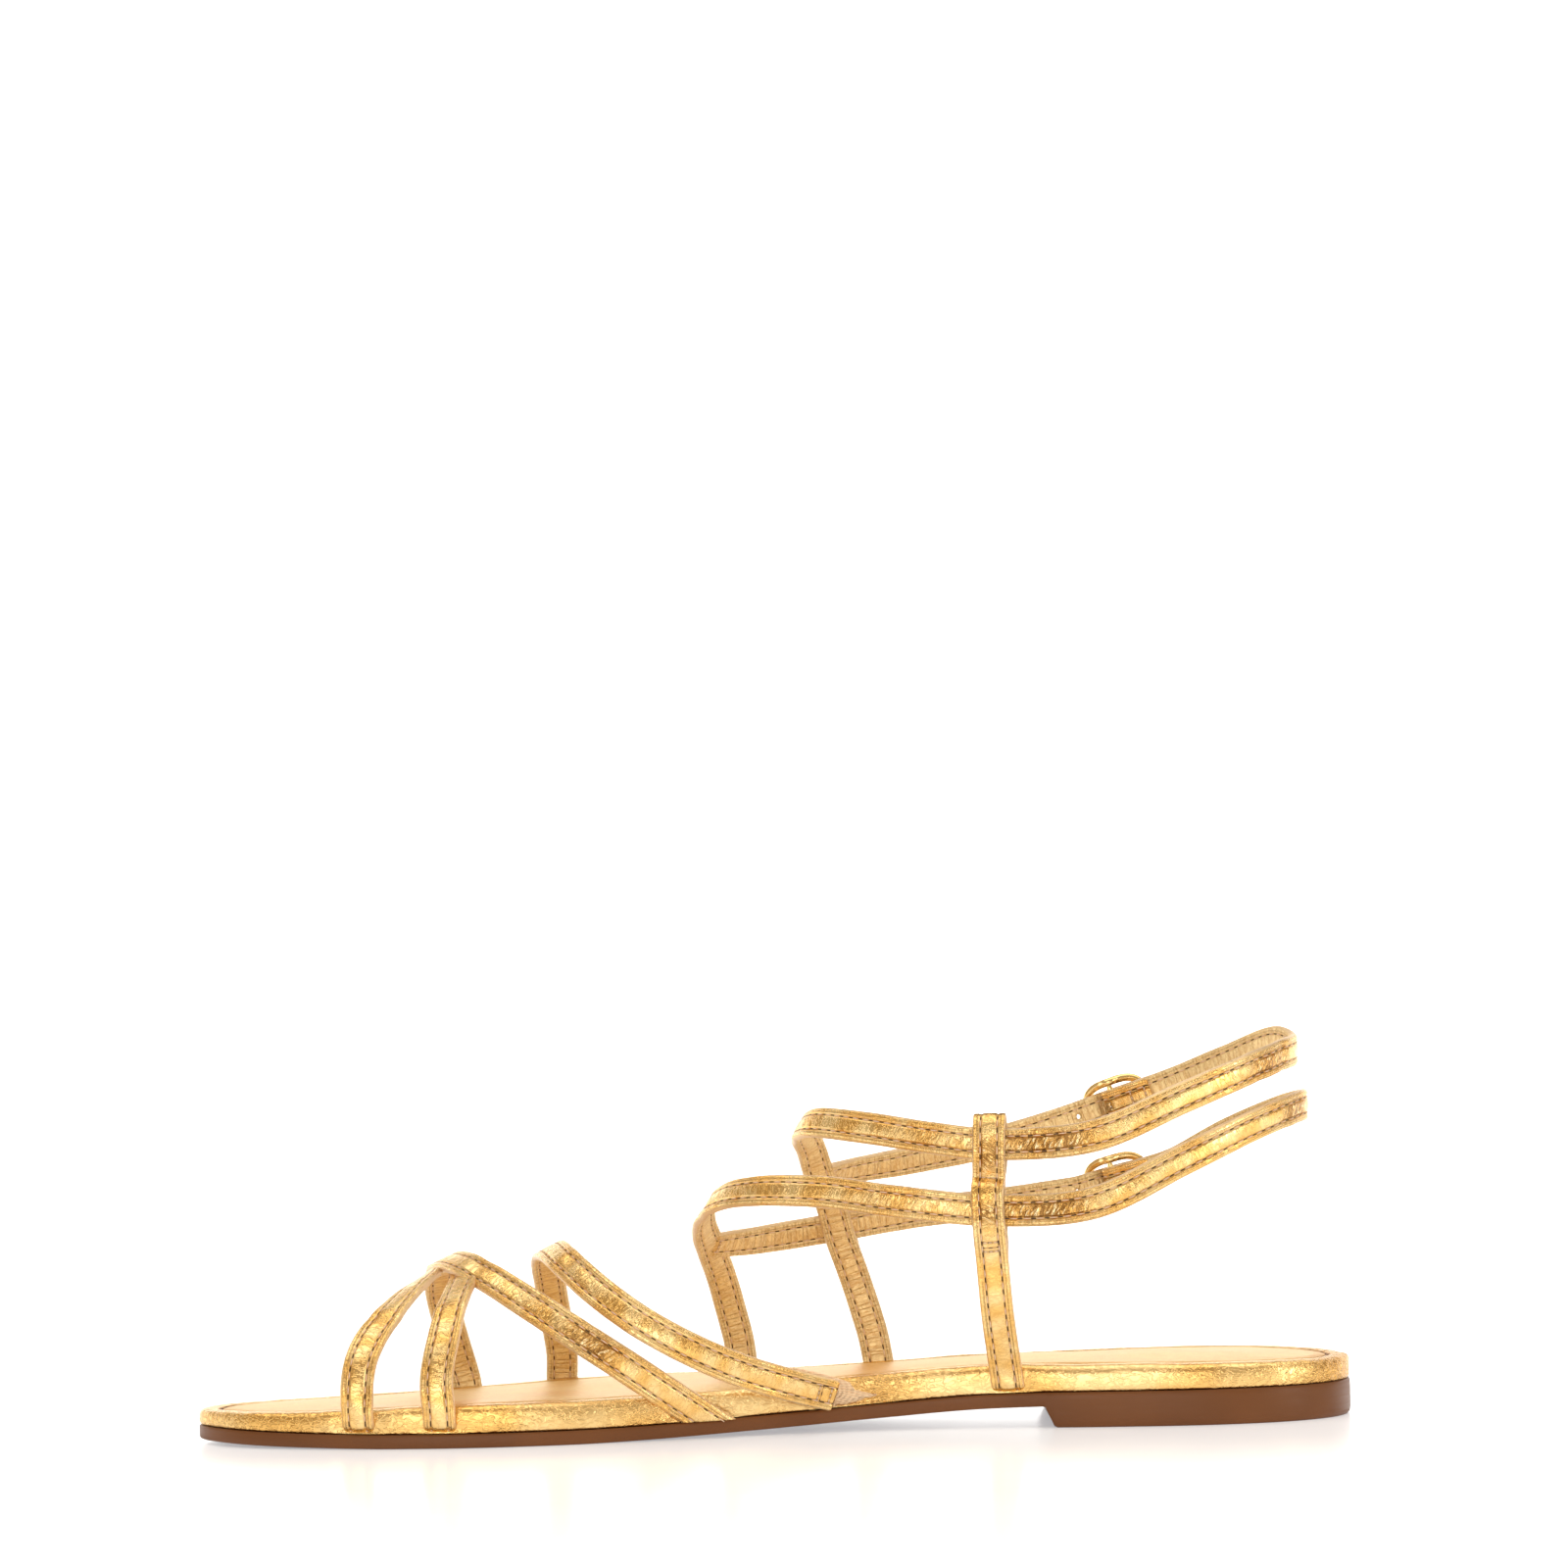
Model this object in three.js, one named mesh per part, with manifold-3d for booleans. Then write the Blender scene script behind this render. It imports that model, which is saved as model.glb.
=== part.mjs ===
// Flat strappy gladiator sandal for a right foot, in millimetres.
// +X points to the toe, +Y to the inner (medial) side of the foot and +Z up. The shoe stands on z = 0.
// A moulded sole with a low heel carries a padded, leather-wrapped insole with a sock lining let into it.
// Folded leather straps are lasted between insole and sole: two toe straps that run under a crossing strap,
// an instep strap on an elastic, and two ankle straps with centre-bar buckles on the outer side.
import * as THREE from 'three';
import { mergeVertices } from 'three/addons/utils/BufferGeometryUtils.js';
import Module from 'manifold-3d';

const wasm = await Module();
wasm.setup();

// Sole and insole sizes
const SHOE_LENGTH = 250;
const BALL_WIDTH = 80;
const SOLE_THICKNESS = 3;
const HEEL_SEAT_HEIGHT = 7.6;
const TOE_SPRING = 0.9;
const HEEL_LENGTH = 67.5;
const BREAST_SLANT = 2;
const SOLE_EDGE_CHAMFER = 0.5;
const INSOLE_THICKNESS = 6.2;
const RIM_WIDTH = 4.8;
const SEAM_DEPTH = 1.6;
const SOCK_CROWN = 0.45;
const SOCK_EDGE = 1.2;
const SOCK_COLUMNS = 4;

// Upper sizes: the instep height is taken from the top of the sole to the ridge under the upper ankle strap
const INSTEP_HEIGHT = 60;
const STRAP_WIDTH = 7.1;
const ANKLE_STRAP_WIDTH = 6.9;
const STRAP_THICKNESS = 1.8;
const LAYER_THICKNESS = 1.2;
const HOLED_THICKNESS = 1.6;
const LAYER_BITE = 0.3;
const STRAP_EDGE_RADIUS = 0.55;
const ELASTIC_WIDTH = 7;
const ELASTIC_THICKNESS = 1;
const LASTING_MARGIN = 8;
const RIM_BITE = 1.1;

// Buckle sizes
const BUCKLE_LENGTH = 15.4;
const BUCKLE_WIRE_RADIUS = 0.9;
const BUCKLE_SIDE_ROOM = 0.7;
const BUCKLE_RISE = 3.2;
const BUCKLE_ROUNDNESS = 0.7;
const BUCKLE_POINTS = 20;
const BUCKLE_STEPS = 26;
const BAR_RADIUS = 0.75;
const PRONG_RADIUS = 0.5;
const TAB_LENGTH = 9;
const HOLE_PITCH = 9.4;
const HOLE_RADIUS = 0.9;
const SLOT_LENGTH = 6;
const PUNCH_LENGTH = 6;

// The loop on the upper upright: from each edge of the strap in it to where the loop lifts off, and to
// where its sewn ends start and stop
const LOOP_OPENING = 1.3;
const LOOP_SEW_START = 4;
const LOOP_SEW_END = 6.5;

const GAP = 0.3;

// The axes that the straps face away from, and how finely straps and wires are drawn.
// PRONG_HOOK and FOLD_ROUND_BAR are degrees round a buckle's bar, from the front of the bar.
const FOOT_AXIS_HEIGHT = 8;
const LEG_AXIS = 0.2;
const WALK_STEPS = 16;
const MAX_TURN = THREE.MathUtils.degToRad(14.5);
const MAX_STEP = 9;
const WIRE_SIDES = 8;
const PRONG_STEPS = 18;
const HOLE_SIDES = 12;
const PRONG_HOOK = [-70, -120, -170, -220, -265];
const FOLD_ROUND_BAR = [100, 50, 0, -50, -100];
const FOOTING_STOPS = 5;
const STEEP_LEAN = 0.5;

// Shares of SHOE_LENGTH from the heel, and of BALL_WIDTH from the centre line to each edge of the sole
const OUTLINE = [
  { along: 0.000, medial: 0.000, lateral: 0.000 },
  { along: 0.020, medial: 0.180, lateral: -0.180 },
  { along: 0.060, medial: 0.275, lateral: -0.285 },
  { along: 0.130, medial: 0.325, lateral: -0.345 },
  { along: 0.220, medial: 0.310, lateral: -0.362 },
  { along: 0.320, medial: 0.262, lateral: -0.372 },
  { along: 0.420, medial: 0.250, lateral: -0.402 },
  { along: 0.520, medial: 0.305, lateral: -0.455 },
  { along: 0.620, medial: 0.405, lateral: -0.510 },
  { along: 0.700, medial: 0.462, lateral: -0.520 },
  { along: 0.760, medial: 0.475, lateral: -0.498 },
  { along: 0.830, medial: 0.450, lateral: -0.432 },
  { along: 0.900, medial: 0.388, lateral: -0.315 },
  { along: 0.950, medial: 0.312, lateral: -0.195 },
  { along: 0.985, medial: 0.205, lateral: -0.055 },
  { along: 1.000, medial: 0.090, lateral: 0.090 },
];

// Rise of the underside in front of the heel, as a share of the height that the heel adds
const ARCH = [
  { along: 0.27, rise: 0.98 },
  { along: 0.33, rise: 0.88 },
  { along: 0.40, rise: 0.62 },
  { along: 0.48, rise: 0.34 },
  { along: 0.56, rise: 0.14 },
  { along: 0.66, rise: 0.00 },
  { along: 0.84, rise: 0.00 },
  { along: 1.00, rise: 0.00 },
];

const SPRING = [
  { along: 0.00, lift: 0.00 },
  { along: 0.84, lift: 0.00 },
  { along: 0.92, lift: 0.42 },
  { along: 1.00, lift: 1.00 },
];

// Thickness of the padded insole at its inner and outer side, as shares of INSOLE_THICKNESS
const PADDING = [
  { along: 0.00, medial: 0.80, lateral: 0.80 },
  { along: 0.12, medial: 0.87, lateral: 0.84 },
  { along: 0.25, medial: 0.92, lateral: 0.78 },
  { along: 0.38, medial: 0.98, lateral: 0.79 },
  { along: 0.52, medial: 0.94, lateral: 0.86 },
  { along: 0.64, medial: 0.95, lateral: 0.84 },
  { along: 0.74, medial: 0.94, lateral: 0.66 },
  { along: 0.83, medial: 0.84, lateral: 0.54 },
  { along: 0.92, medial: 0.64, lateral: 0.50 },
  { along: 1.00, medial: 0.50, lateral: 0.50 },
];

// The insole's rim from its underside to its top: inset as a share of RIM_WIDTH, share of the full height
const RIM_PROFILE = [
  { inset: 0.31, share: 0.00 },
  { inset: 0.10, share: 0.16 },
  { inset: 0.02, share: 0.45 },
  { inset: 0.10, share: 0.74 },
  { inset: 0.33, share: 0.93 },
  { inset: 0.70, share: 1.00 },
];

// Courses of the straps between their lasted ends: along as a share of SHOE_LENGTH, across as a share of
// BALL_WIDTH (inner side positive), up as a share of INSTEP_HEIGHT over the top of the sole.
// leg says what the strap faces away from: 0 is the foot's long axis, 1 is the upright axis of the leg.
const FIRST_TOE_STRAP = [
  { along: 0.856, across: 0.420, up: 0.176, leg: 0.00 },
  { along: 0.853, across: 0.395, up: 0.255, leg: 0.08 },
  { along: 0.845, across: 0.340, up: 0.331, leg: 0.16 },
  { along: 0.832, across: 0.262, up: 0.404, leg: 0.26 },
  { along: 0.817, across: 0.162, up: 0.467, leg: 0.34 },
  { along: 0.801, across: 0.050, up: 0.516, leg: 0.38 },
  { along: 0.791, across: -0.040, up: 0.542, leg: 0.38 },
  { along: 0.786, across: -0.110, up: 0.542, leg: 0.38 },
];

const SECOND_TOE_STRAP = [
  { along: 0.788, across: 0.466, up: 0.176, leg: 0.05 },
  { along: 0.786, across: 0.446, up: 0.253, leg: 0.10 },
  { along: 0.782, across: 0.408, up: 0.331, leg: 0.15 },
  { along: 0.778, across: 0.352, up: 0.406, leg: 0.20 },
  { along: 0.773, across: 0.275, up: 0.464, leg: 0.25 },
  { along: 0.768, across: 0.185, up: 0.511, leg: 0.25 },
  { along: 0.765, across: 0.085, up: 0.551, leg: 0.25 },
];

const CROSSING_STRAP = [
  { along: 0.592, across: 0.380, up: 0.108, leg: 0.00 },
  { along: 0.623, across: 0.412, up: 0.205, leg: 0.00 },
  { along: 0.659, across: 0.420, up: 0.311, leg: 0.05 },
  { along: 0.698, across: 0.358, up: 0.414, leg: 0.15 },
  { along: 0.742, across: 0.225, up: 0.521, leg: 0.25 },
  { along: 0.770, across: 0.095, up: 0.572, leg: 0.32 },
  { along: 0.787, across: -0.050, up: 0.566, leg: 0.34 },
  { along: 0.793, across: -0.215, up: 0.517, leg: 0.22 },
  { along: 0.795, across: -0.340, up: 0.419, leg: 0.10 },
  { along: 0.790, across: -0.425, up: 0.299, leg: 0.05 },
  { along: 0.783, across: -0.478, up: 0.173, leg: 0.00 },
];

const INSTEP_STRAP = [
  { along: 0.449, across: 0.294, up: 0.050, leg: 0.00 },
  { along: 0.488, across: 0.325, up: 0.106, leg: 0.00 },
  { along: 0.530, across: 0.372, up: 0.176, leg: 0.00 },
  { along: 0.572, across: 0.405, up: 0.265, leg: 0.05 },
  { along: 0.614, across: 0.400, up: 0.371, leg: 0.15 },
  { along: 0.650, across: 0.338, up: 0.481, leg: 0.30 },
  { along: 0.680, across: 0.190, up: 0.581, leg: 0.35 },
  { along: 0.693, across: 0.025, up: 0.606, leg: 0.35 },
  { along: 0.699, across: -0.150, up: 0.561, leg: 0.25 },
  { along: 0.698, across: -0.310, up: 0.457, leg: 0.15 },
  { along: 0.695, across: -0.430, up: 0.322, leg: 0.05 },
  { along: 0.691, across: -0.500, up: 0.176, leg: 0.00 },
];

const LOWER_ANKLE_STRAP = [
  { along: 0.532, across: -0.470, up: 0.193, leg: 0.08 },
  { along: 0.540, across: -0.448, up: 0.339, leg: 0.18 },
  { along: 0.547, across: -0.388, up: 0.456, leg: 0.30 },
  { along: 0.555, across: -0.288, up: 0.564, leg: 0.42 },
  { along: 0.560, across: -0.165, up: 0.651, leg: 0.52 },
  { along: 0.557, across: -0.050, up: 0.722, leg: 0.60 },
  { along: 0.542, across: 0.052, up: 0.772, leg: 0.68 },
  { along: 0.513, across: 0.158, up: 0.792, leg: 0.75 },
  { along: 0.455, across: 0.262, up: 0.777, leg: 0.85 },
  { along: 0.397, across: 0.342, up: 0.729, leg: 0.90 },
  { along: 0.310, across: 0.378, up: 0.667, leg: 0.95 },
  { along: 0.226, across: 0.375, up: 0.679, leg: 1.00 },
  { along: 0.148, across: 0.330, up: 0.819, leg: 1.00 },
  { along: 0.085, across: 0.228, up: 0.929, leg: 1.00 },
  { along: 0.046, across: 0.100, up: 0.981, leg: 1.00 },
  { along: 0.034, across: -0.010, up: 0.989, leg: 1.00 },
  { along: 0.050, across: -0.130, up: 0.964, leg: 1.00 },
  { along: 0.095, across: -0.280, up: 0.874, leg: 1.00 },
  { along: 0.140, across: -0.362, up: 0.767, leg: 1.00 },
];

const UPPER_ANKLE_STRAP = [
  { along: 0.413, across: -0.410, up: 0.193, leg: 0.00 },
  { along: 0.428, across: -0.415, up: 0.409, leg: 0.08 },
  { along: 0.439, across: -0.396, up: 0.549, leg: 0.12 },
  { along: 0.447, across: -0.360, up: 0.679, leg: 0.14 },
  { along: 0.458, across: -0.300, up: 0.814, leg: 0.25 },
  { along: 0.465, across: -0.215, up: 0.914, leg: 0.45 },
  { along: 0.472, across: -0.110, up: 0.974, leg: 0.60 },
  { along: 0.471, across: -0.010, up: 1.004, leg: 0.65 },
  { along: 0.459, across: 0.080, up: 1.016, leg: 0.70 },
  { along: 0.413, across: 0.225, up: 0.986, leg: 0.85 },
  { along: 0.360, across: 0.320, up: 0.936, leg: 0.90 },
  { along: 0.310, across: 0.358, up: 0.901, leg: 0.95 },
  { along: 0.225, across: 0.378, up: 0.917, leg: 1.00 },
  { along: 0.147, across: 0.328, up: 1.040, leg: 1.00 },
  { along: 0.090, across: 0.238, up: 1.128, leg: 1.00 },
  { along: 0.054, across: 0.110, up: 1.178, leg: 1.00 },
  { along: 0.042, across: 0.000, up: 1.192, leg: 1.00 },
  { along: 0.055, across: -0.120, up: 1.215, leg: 1.00 },
  { along: 0.093, across: -0.280, up: 1.145, leg: 1.00 },
  { along: 0.138, across: -0.367, up: 1.064, leg: 1.00 },
];

// The holed straps run from the uprights back to the buckles
const LOWER_HOLED_STRAP = [
  { along: 0.553, across: -0.275, up: 0.574, leg: 0.30 },
  { along: 0.524, across: -0.340, up: 0.572, leg: 0.50 },
  { along: 0.485, across: -0.405, up: 0.580, leg: 0.70 },
  { along: 0.437, across: -0.419, up: 0.595, leg: 0.80 },
  { along: 0.370, across: -0.450, up: 0.616, leg: 0.85 },
  { along: 0.289, across: -0.456, up: 0.631, leg: 0.95 },
  { along: 0.240, across: -0.450, up: 0.654, leg: 1.00 },
];

const UPPER_HOLED_STRAP = [
  { along: 0.452, across: -0.318, up: 0.801, leg: 0.20 },
  { along: 0.425, across: -0.372, up: 0.803, leg: 0.45 },
  { along: 0.373, across: -0.418, up: 0.817, leg: 0.70 },
  { along: 0.300, across: -0.443, up: 0.857, leg: 0.90 },
  { along: 0.240, across: -0.442, up: 0.920, leg: 1.00 },
];

const LOWER_BUCKLE = { along: 0.193, across: -0.425, up: 0.698, leg: 1.00 };
const UPPER_BUCKLE = { along: 0.191, across: -0.427, up: 0.986, leg: 1.00 };

// The inner strap is folded over at the top and sewn to itself: room is the space between its two layers,
// as a share of what an ankle strap needs to run through
const KEEPER_STRAP = [
  { along: 0.309, across: 0.340, up: 0.299, room: 0.0 },
  { along: 0.313, across: 0.370, up: 0.509, room: 0.0 },
  { along: 0.314, across: 0.375, up: 0.595, room: 1.0 },
  { along: 0.315, across: 0.375, up: 0.739, room: 1.0 },
  { along: 0.314, across: 0.367, up: 0.784, room: 0.0 },
  { along: 0.313, across: 0.360, up: 0.828, room: 1.0 },
  { along: 0.312, across: 0.354, up: 0.966, room: 1.0 },
];
const KEEPER_TOP = 1.004;
const KEEPER_INNER_END = 0.474;
const KEEPER_TURN = THREE.MathUtils.degToRad(8);

// Places where straps are lasted under the insole; lean is how far they run towards the toe as they rise
const FOOTING = {
  firstToe: { along: 0.856, side: 'medial', lean: 0.0 },
  secondToe: { along: 0.786, side: 'medial', lean: 0.0 },
  crossingInner: { along: 0.562, side: 'medial', lean: 1.1 },
  crossingOuter: { along: 0.776, side: 'lateral', lean: 0.1 },
  instepOuter: { along: 0.690, side: 'lateral', lean: 0.1 },
  elastic: { along: 0.438, side: 'medial', lean: 1.5 },
  lowerAnkle: { along: 0.529, side: 'lateral', lean: 0.0 },
  upperAnkle: { along: 0.406, side: 'lateral', lean: 0.15 },
  keeper: { along: 0.301, side: 'medial', lean: 0.1 },
};

// A smooth function through one column of a table, read at a share of the shoe's length.
// Tables of outlines are read in the angle of a half turn from heel to toe, so that their ends are round.
function curveThrough(rows, column, measure = (along) => along) {
  const at = rows.map((row) => measure(row.along));
  const value = rows.map((row) => row[column]);
  const slope = (i) => (value[i + 1] - value[i]) / (at[i + 1] - at[i]);
  const tangent = rows.map((_, i) => {
    if (i === 0) return slope(0);
    if (i === rows.length - 1) return slope(i - 1);
    const before = at[i] - at[i - 1];
    const after = at[i + 1] - at[i];
    return (slope(i - 1) * after + slope(i) * before) / (before + after);
  });
  return (along) => {
    const s = THREE.MathUtils.clamp(measure(along), at[0], at[at.length - 1]);
    let i = 0;
    while (i < at.length - 2 && s > at[i + 1]) i += 1;
    const h = at[i + 1] - at[i];
    const u = (s - at[i]) / h;
    const u2 = u * u;
    const u3 = u2 * u;
    return (2 * u3 - 3 * u2 + 1) * value[i] + (u3 - 2 * u2 + u) * h * tangent[i]
      + (3 * u2 - 2 * u3) * value[i + 1] + (u3 - u2) * h * tangent[i + 1];
  };
}

const halfTurn = (along) => Math.acos(1 - 2 * THREE.MathUtils.clamp(along, 0, 1));
const edge = {
  medial: curveThrough(OUTLINE, 'medial', halfTurn),
  lateral: curveThrough(OUTLINE, 'lateral', halfTurn),
};
const archRise = curveThrough(ARCH, 'rise');
const springLift = curveThrough(SPRING, 'lift');
const padding = {
  medial: curveThrough(PADDING, 'medial'),
  lateral: curveThrough(PADDING, 'lateral'),
};
const BREAST = HEEL_LENGTH / SHOE_LENGTH;
const BREAST_FOOT = (HEEL_LENGTH - BREAST_SLANT) / SHOE_LENGTH;

// Heights of the sole and insole at a share of the length
function underside(along) {
  if (along < BREAST - 1e-6) return 0;
  const heelAdds = HEEL_SEAT_HEIGHT - SOLE_THICKNESS;
  return heelAdds * Math.max(0, archRise(along)) + TOE_SPRING * Math.max(0, springLift(along));
}

// The seat over the heel is level and dips a little towards the breast
function soleTop(along) {
  if (along >= BREAST) return underside(along) + SOLE_THICKNESS;
  const dip = HEEL_SEAT_HEIGHT - SOLE_THICKNESS - underside(BREAST);
  return HEEL_SEAT_HEIGHT - dip * (along / BREAST) ** 3;
}

const insoleBottom = (along) => soleTop(along) + GAP;
const insoleTop = (along, side) => insoleBottom(along) + INSOLE_THICKNESS * padding[side](along);

// A point of the sole's outline, moved inwards by inset
function outlinePoint(along, side, inset) {
  const point = (s) => new THREE.Vector2((s - 0.5) * SHOE_LENGTH, edge[side](s) * BALL_WIDTH);
  const isHeel = along <= 0;
  const isToe = along >= 1;
  if (isHeel || isToe) {
    const end = point(along);
    return new THREE.Vector2(end.x + (isHeel ? inset : -inset), end.y);
  }
  const step = Math.min(0.0005, along / 2, (1 - along) / 2);
  const direction = point(along + step).sub(point(along - step)).normalize();
  const inwards = side === 'medial'
    ? new THREE.Vector2(direction.y, -direction.x)
    : new THREE.Vector2(-direction.y, direction.x);
  return point(along).addScaledVector(inwards, inset);
}

// Shares of the length at which the sole and insole have a section, closer together at heel and toe
const STATION_COUNT = 32;
const STATIONS = (() => {
  const list = [];
  for (let i = 1; i < STATION_COUNT; i += 1) list.push((1 - Math.cos((Math.PI * i) / STATION_COUNT)) / 2);
  const clear = list.filter((s) => Math.abs(s - BREAST) > 0.008 && Math.abs(s - BREAST_FOOT) > 0.008);
  return [...clear, BREAST, BREAST_FOOT].sort((a, b) => a - b);
})();

// One closed ring round the shoe: heel, medial side, toe, lateral side
function ring(inset, height) {
  const corner = (along, side) => {
    const p = outlinePoint(along, side, inset);
    return new THREE.Vector3(p.x, p.y, height(along, side));
  };
  return [
    corner(0, 'medial'),
    ...STATIONS.map((s) => corner(s, 'medial')),
    corner(1, 'medial'),
    ...[...STATIONS].reverse().map((s) => corner(s, 'lateral')),
  ];
}

// A mesh that collects vertices and faces
class MeshBuilder {
  constructor() {
    this.positions = [];
    this.indices = [];
  }

  add(point) {
    this.positions.push(point.x, point.y, point.z);
    return this.positions.length / 3 - 1;
  }

  triangle(a, b, c) {
    if (a !== b && b !== c && c !== a) this.indices.push(a, b, c);
  }

  quad(a, b, c, d) {
    this.triangle(a, b, c);
    this.triangle(a, c, d);
  }

  geometry() {
    const geometry = new THREE.BufferGeometry();
    geometry.setAttribute('position', new THREE.Float32BufferAttribute(this.positions, 3));
    geometry.setIndex(this.indices);
    return geometry;
  }
}

// A closed body from rings round the shoe, lowest first, with its lower and upper faces laid in columns
// across the shoe. crown gives the height that the upper face adds at a share of its width.
function soleBody(rings, columns = 1, crown = () => 0) {
  const mesh = new MeshBuilder();
  const ids = rings.map((points) => points.map((p) => mesh.add(p)));
  const count = ids[0].length;
  for (let r = 0; r + 1 < ids.length; r += 1) {
    for (let i = 0; i < count; i += 1) {
      const j = (i + 1) % count;
      mesh.quad(ids[r][i], ids[r + 1][i], ids[r + 1][j], ids[r][j]);
    }
  }
  const face = (points, row, parts, rise, flip) => {
    const toe = STATIONS.length + 1;
    const line = (i) => {
      const medial = points[i];
      const lateral = points[(count - i) % count];
      if (i === 0 || i === toe) return Array(parts + 1).fill(row[i]);
      const inner = [];
      for (let c = 1; c < parts; c += 1) {
        const share = c / parts;
        const p = medial.clone().lerp(lateral, share);
        p.z += rise(share) * Math.min(1, medial.distanceTo(lateral) / (0.4 * BALL_WIDTH));
        inner.push(mesh.add(p));
      }
      return [row[i], ...inner, row[(count - i) % count]];
    };
    let before = line(0);
    for (let i = 1; i <= toe; i += 1) {
      const next = line(i);
      for (let c = 0; c < parts; c += 1) {
        if (flip) mesh.quad(before[c], before[c + 1], next[c + 1], next[c]);
        else mesh.quad(before[c], next[c], next[c + 1], before[c + 1]);
      }
      before = next;
    }
  };
  face(rings[0], ids[0], 1, () => 0, false);
  face(rings[rings.length - 1], ids[ids.length - 1], columns, crown, true);
  return mesh.geometry();
}

// A closed body through rings of the same number of points, with flat ends or joined end to end
function loft(rings, joined = false) {
  const mesh = new MeshBuilder();
  const ids = rings.map((points) => points.map((p) => mesh.add(p)));
  const count = ids[0].length;
  for (let r = 0; r + (joined ? 0 : 1) < ids.length; r += 1) {
    const next = ids[(r + 1) % ids.length];
    for (let i = 0; i < count; i += 1) {
      const j = (i + 1) % count;
      mesh.quad(ids[r][i], ids[r][j], next[j], next[i]);
    }
  }
  if (joined) return mesh.geometry();
  const lastRing = ids[ids.length - 1];
  for (let i = 1; i + 1 < count; i += 1) {
    mesh.triangle(ids[0][0], ids[0][i + 1], ids[0][i]);
    mesh.triangle(lastRing[0], lastRing[i], lastRing[i + 1]);
  }
  return mesh.geometry();
}

function signedVolume(geometry) {
  const at = geometry.getAttribute('position');
  const index = geometry.getIndex().array;
  const [a, b, c] = [new THREE.Vector3(), new THREE.Vector3(), new THREE.Vector3()];
  let sum = 0;
  for (let i = 0; i < index.length; i += 3) {
    a.fromBufferAttribute(at, index[i]);
    b.fromBufferAttribute(at, index[i + 1]);
    c.fromBufferAttribute(at, index[i + 2]);
    sum += a.dot(b.cross(c)) / 6;
  }
  return sum;
}

// Between three.js geometry and the solids that can be joined and cut
function toSolid(geometry) {
  const plain = geometry.clone();
  plain.deleteAttribute('normal');
  plain.deleteAttribute('uv');
  const merged = mergeVertices(plain, 1e-5);
  const index = Uint32Array.from(merged.getIndex().array);
  if (signedVolume(merged) < 0) {
    for (let i = 0; i < index.length; i += 3) [index[i + 1], index[i + 2]] = [index[i + 2], index[i + 1]];
  }
  const vertProperties = Float32Array.from(merged.getAttribute('position').array);
  return new wasm.Manifold(new wasm.Mesh({ numProp: 3, vertProperties, triVerts: index }));
}

function toGeometry(solid) {
  const mesh = solid.getMesh();
  const geometry = new THREE.BufferGeometry();
  geometry.setAttribute('position', new THREE.BufferAttribute(new Float32Array(mesh.vertProperties), 3));
  geometry.setIndex(new THREE.BufferAttribute(new Uint32Array(mesh.triVerts), 1));
  return geometry;
}

// A place of a strap's course
function place({ along, across, up }) {
  return new THREE.Vector3(
    (along - 0.5) * SHOE_LENGTH,
    across * BALL_WIDTH,
    soleTop(along) + up * INSTEP_HEIGHT,
  );
}

// The direction that a strap faces at a place
function facing({ leg = 0 }, point) {
  const fromFoot = new THREE.Vector3(0, point.y, point.z - soleTop(0.5) - FOOT_AXIS_HEIGHT).normalize();
  const fromLeg = new THREE.Vector3(point.x - (LEG_AXIS - 0.5) * SHOE_LENGTH, point.y, 0).normalize();
  return fromFoot.lerp(fromLeg, leg).normalize();
}

const stop = (point, out, skew = 0) => ({ point, out: out.clone().normalize(), skew });
function course(rows) {
  const points = rows.map(place);
  return rows.map((row, i) => {
    const before = points[Math.max(0, i - 1)];
    const after = points[Math.min(points.length - 1, i + 1)];
    const run = after.clone().sub(before).normalize();
    const out = facing(row, points[i]);
    return stop(points[i], out.addScaledVector(run, -out.dot(run)));
  });
}
const offset = (stops, distance) => stops.map(
  ({ point, out, skew }) => stop(point.clone().addScaledVector(out, distance), out, skew),
);
const back = (stops) => [...stops].reverse();

// The lasted end of a strap: from under the insole, round its lower edge and up its rim
function footing({ along, side, lean }, thickness = STRAP_THICKNESS) {
  const share = (shift) => along + shift / SHOE_LENGTH;
  const slope = (soleTop(along + 0.01) - soleTop(along - 0.01)) / (0.02 * SHOE_LENGTH);
  const down = new THREE.Vector3(slope, 0, -1);
  const edgePoint = outlinePoint(along, side, 0);
  const deeper = outlinePoint(along, side, 1);
  const outwards = new THREE.Vector3(edgePoint.x - deeper.x, edgePoint.y - deeper.y, 0);
  const skew = side === 'medial' ? -lean : lean;
  const wall = RIM_BITE - thickness / 2;
  const bend = thickness * 0.9;
  const at = (inset, rise, shift, out, slant) => {
    const p = outlinePoint(share(shift), side, inset);
    const height = insoleBottom(share(shift)) + GAP * lean + thickness / 2 + rise;
    return stop(new THREE.Vector3(p.x, p.y, height), out, slant);
  };
  const lasted = [
    at(wall + LASTING_MARGIN, 0, -lean * (LASTING_MARGIN + bend), down, skew),
    at(wall + 2.2 * bend, 0, -lean * 2 * bend, down, skew),
    at(wall + 0.35 * bend, 0.35 * bend, 0, outwards.clone().add(down), skew),
    at(wall, 1.6 * bend, lean * 1.6 * bend, outwards, skew),
  ];
  const rises = at(wall - 0.2, 0.6 * INSOLE_THICKNESS, lean * 0.6 * INSOLE_THICKNESS, outwards, skew * 0.7);
  return lean > STEEP_LEAN ? lasted : [...lasted, rises];
}

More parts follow.
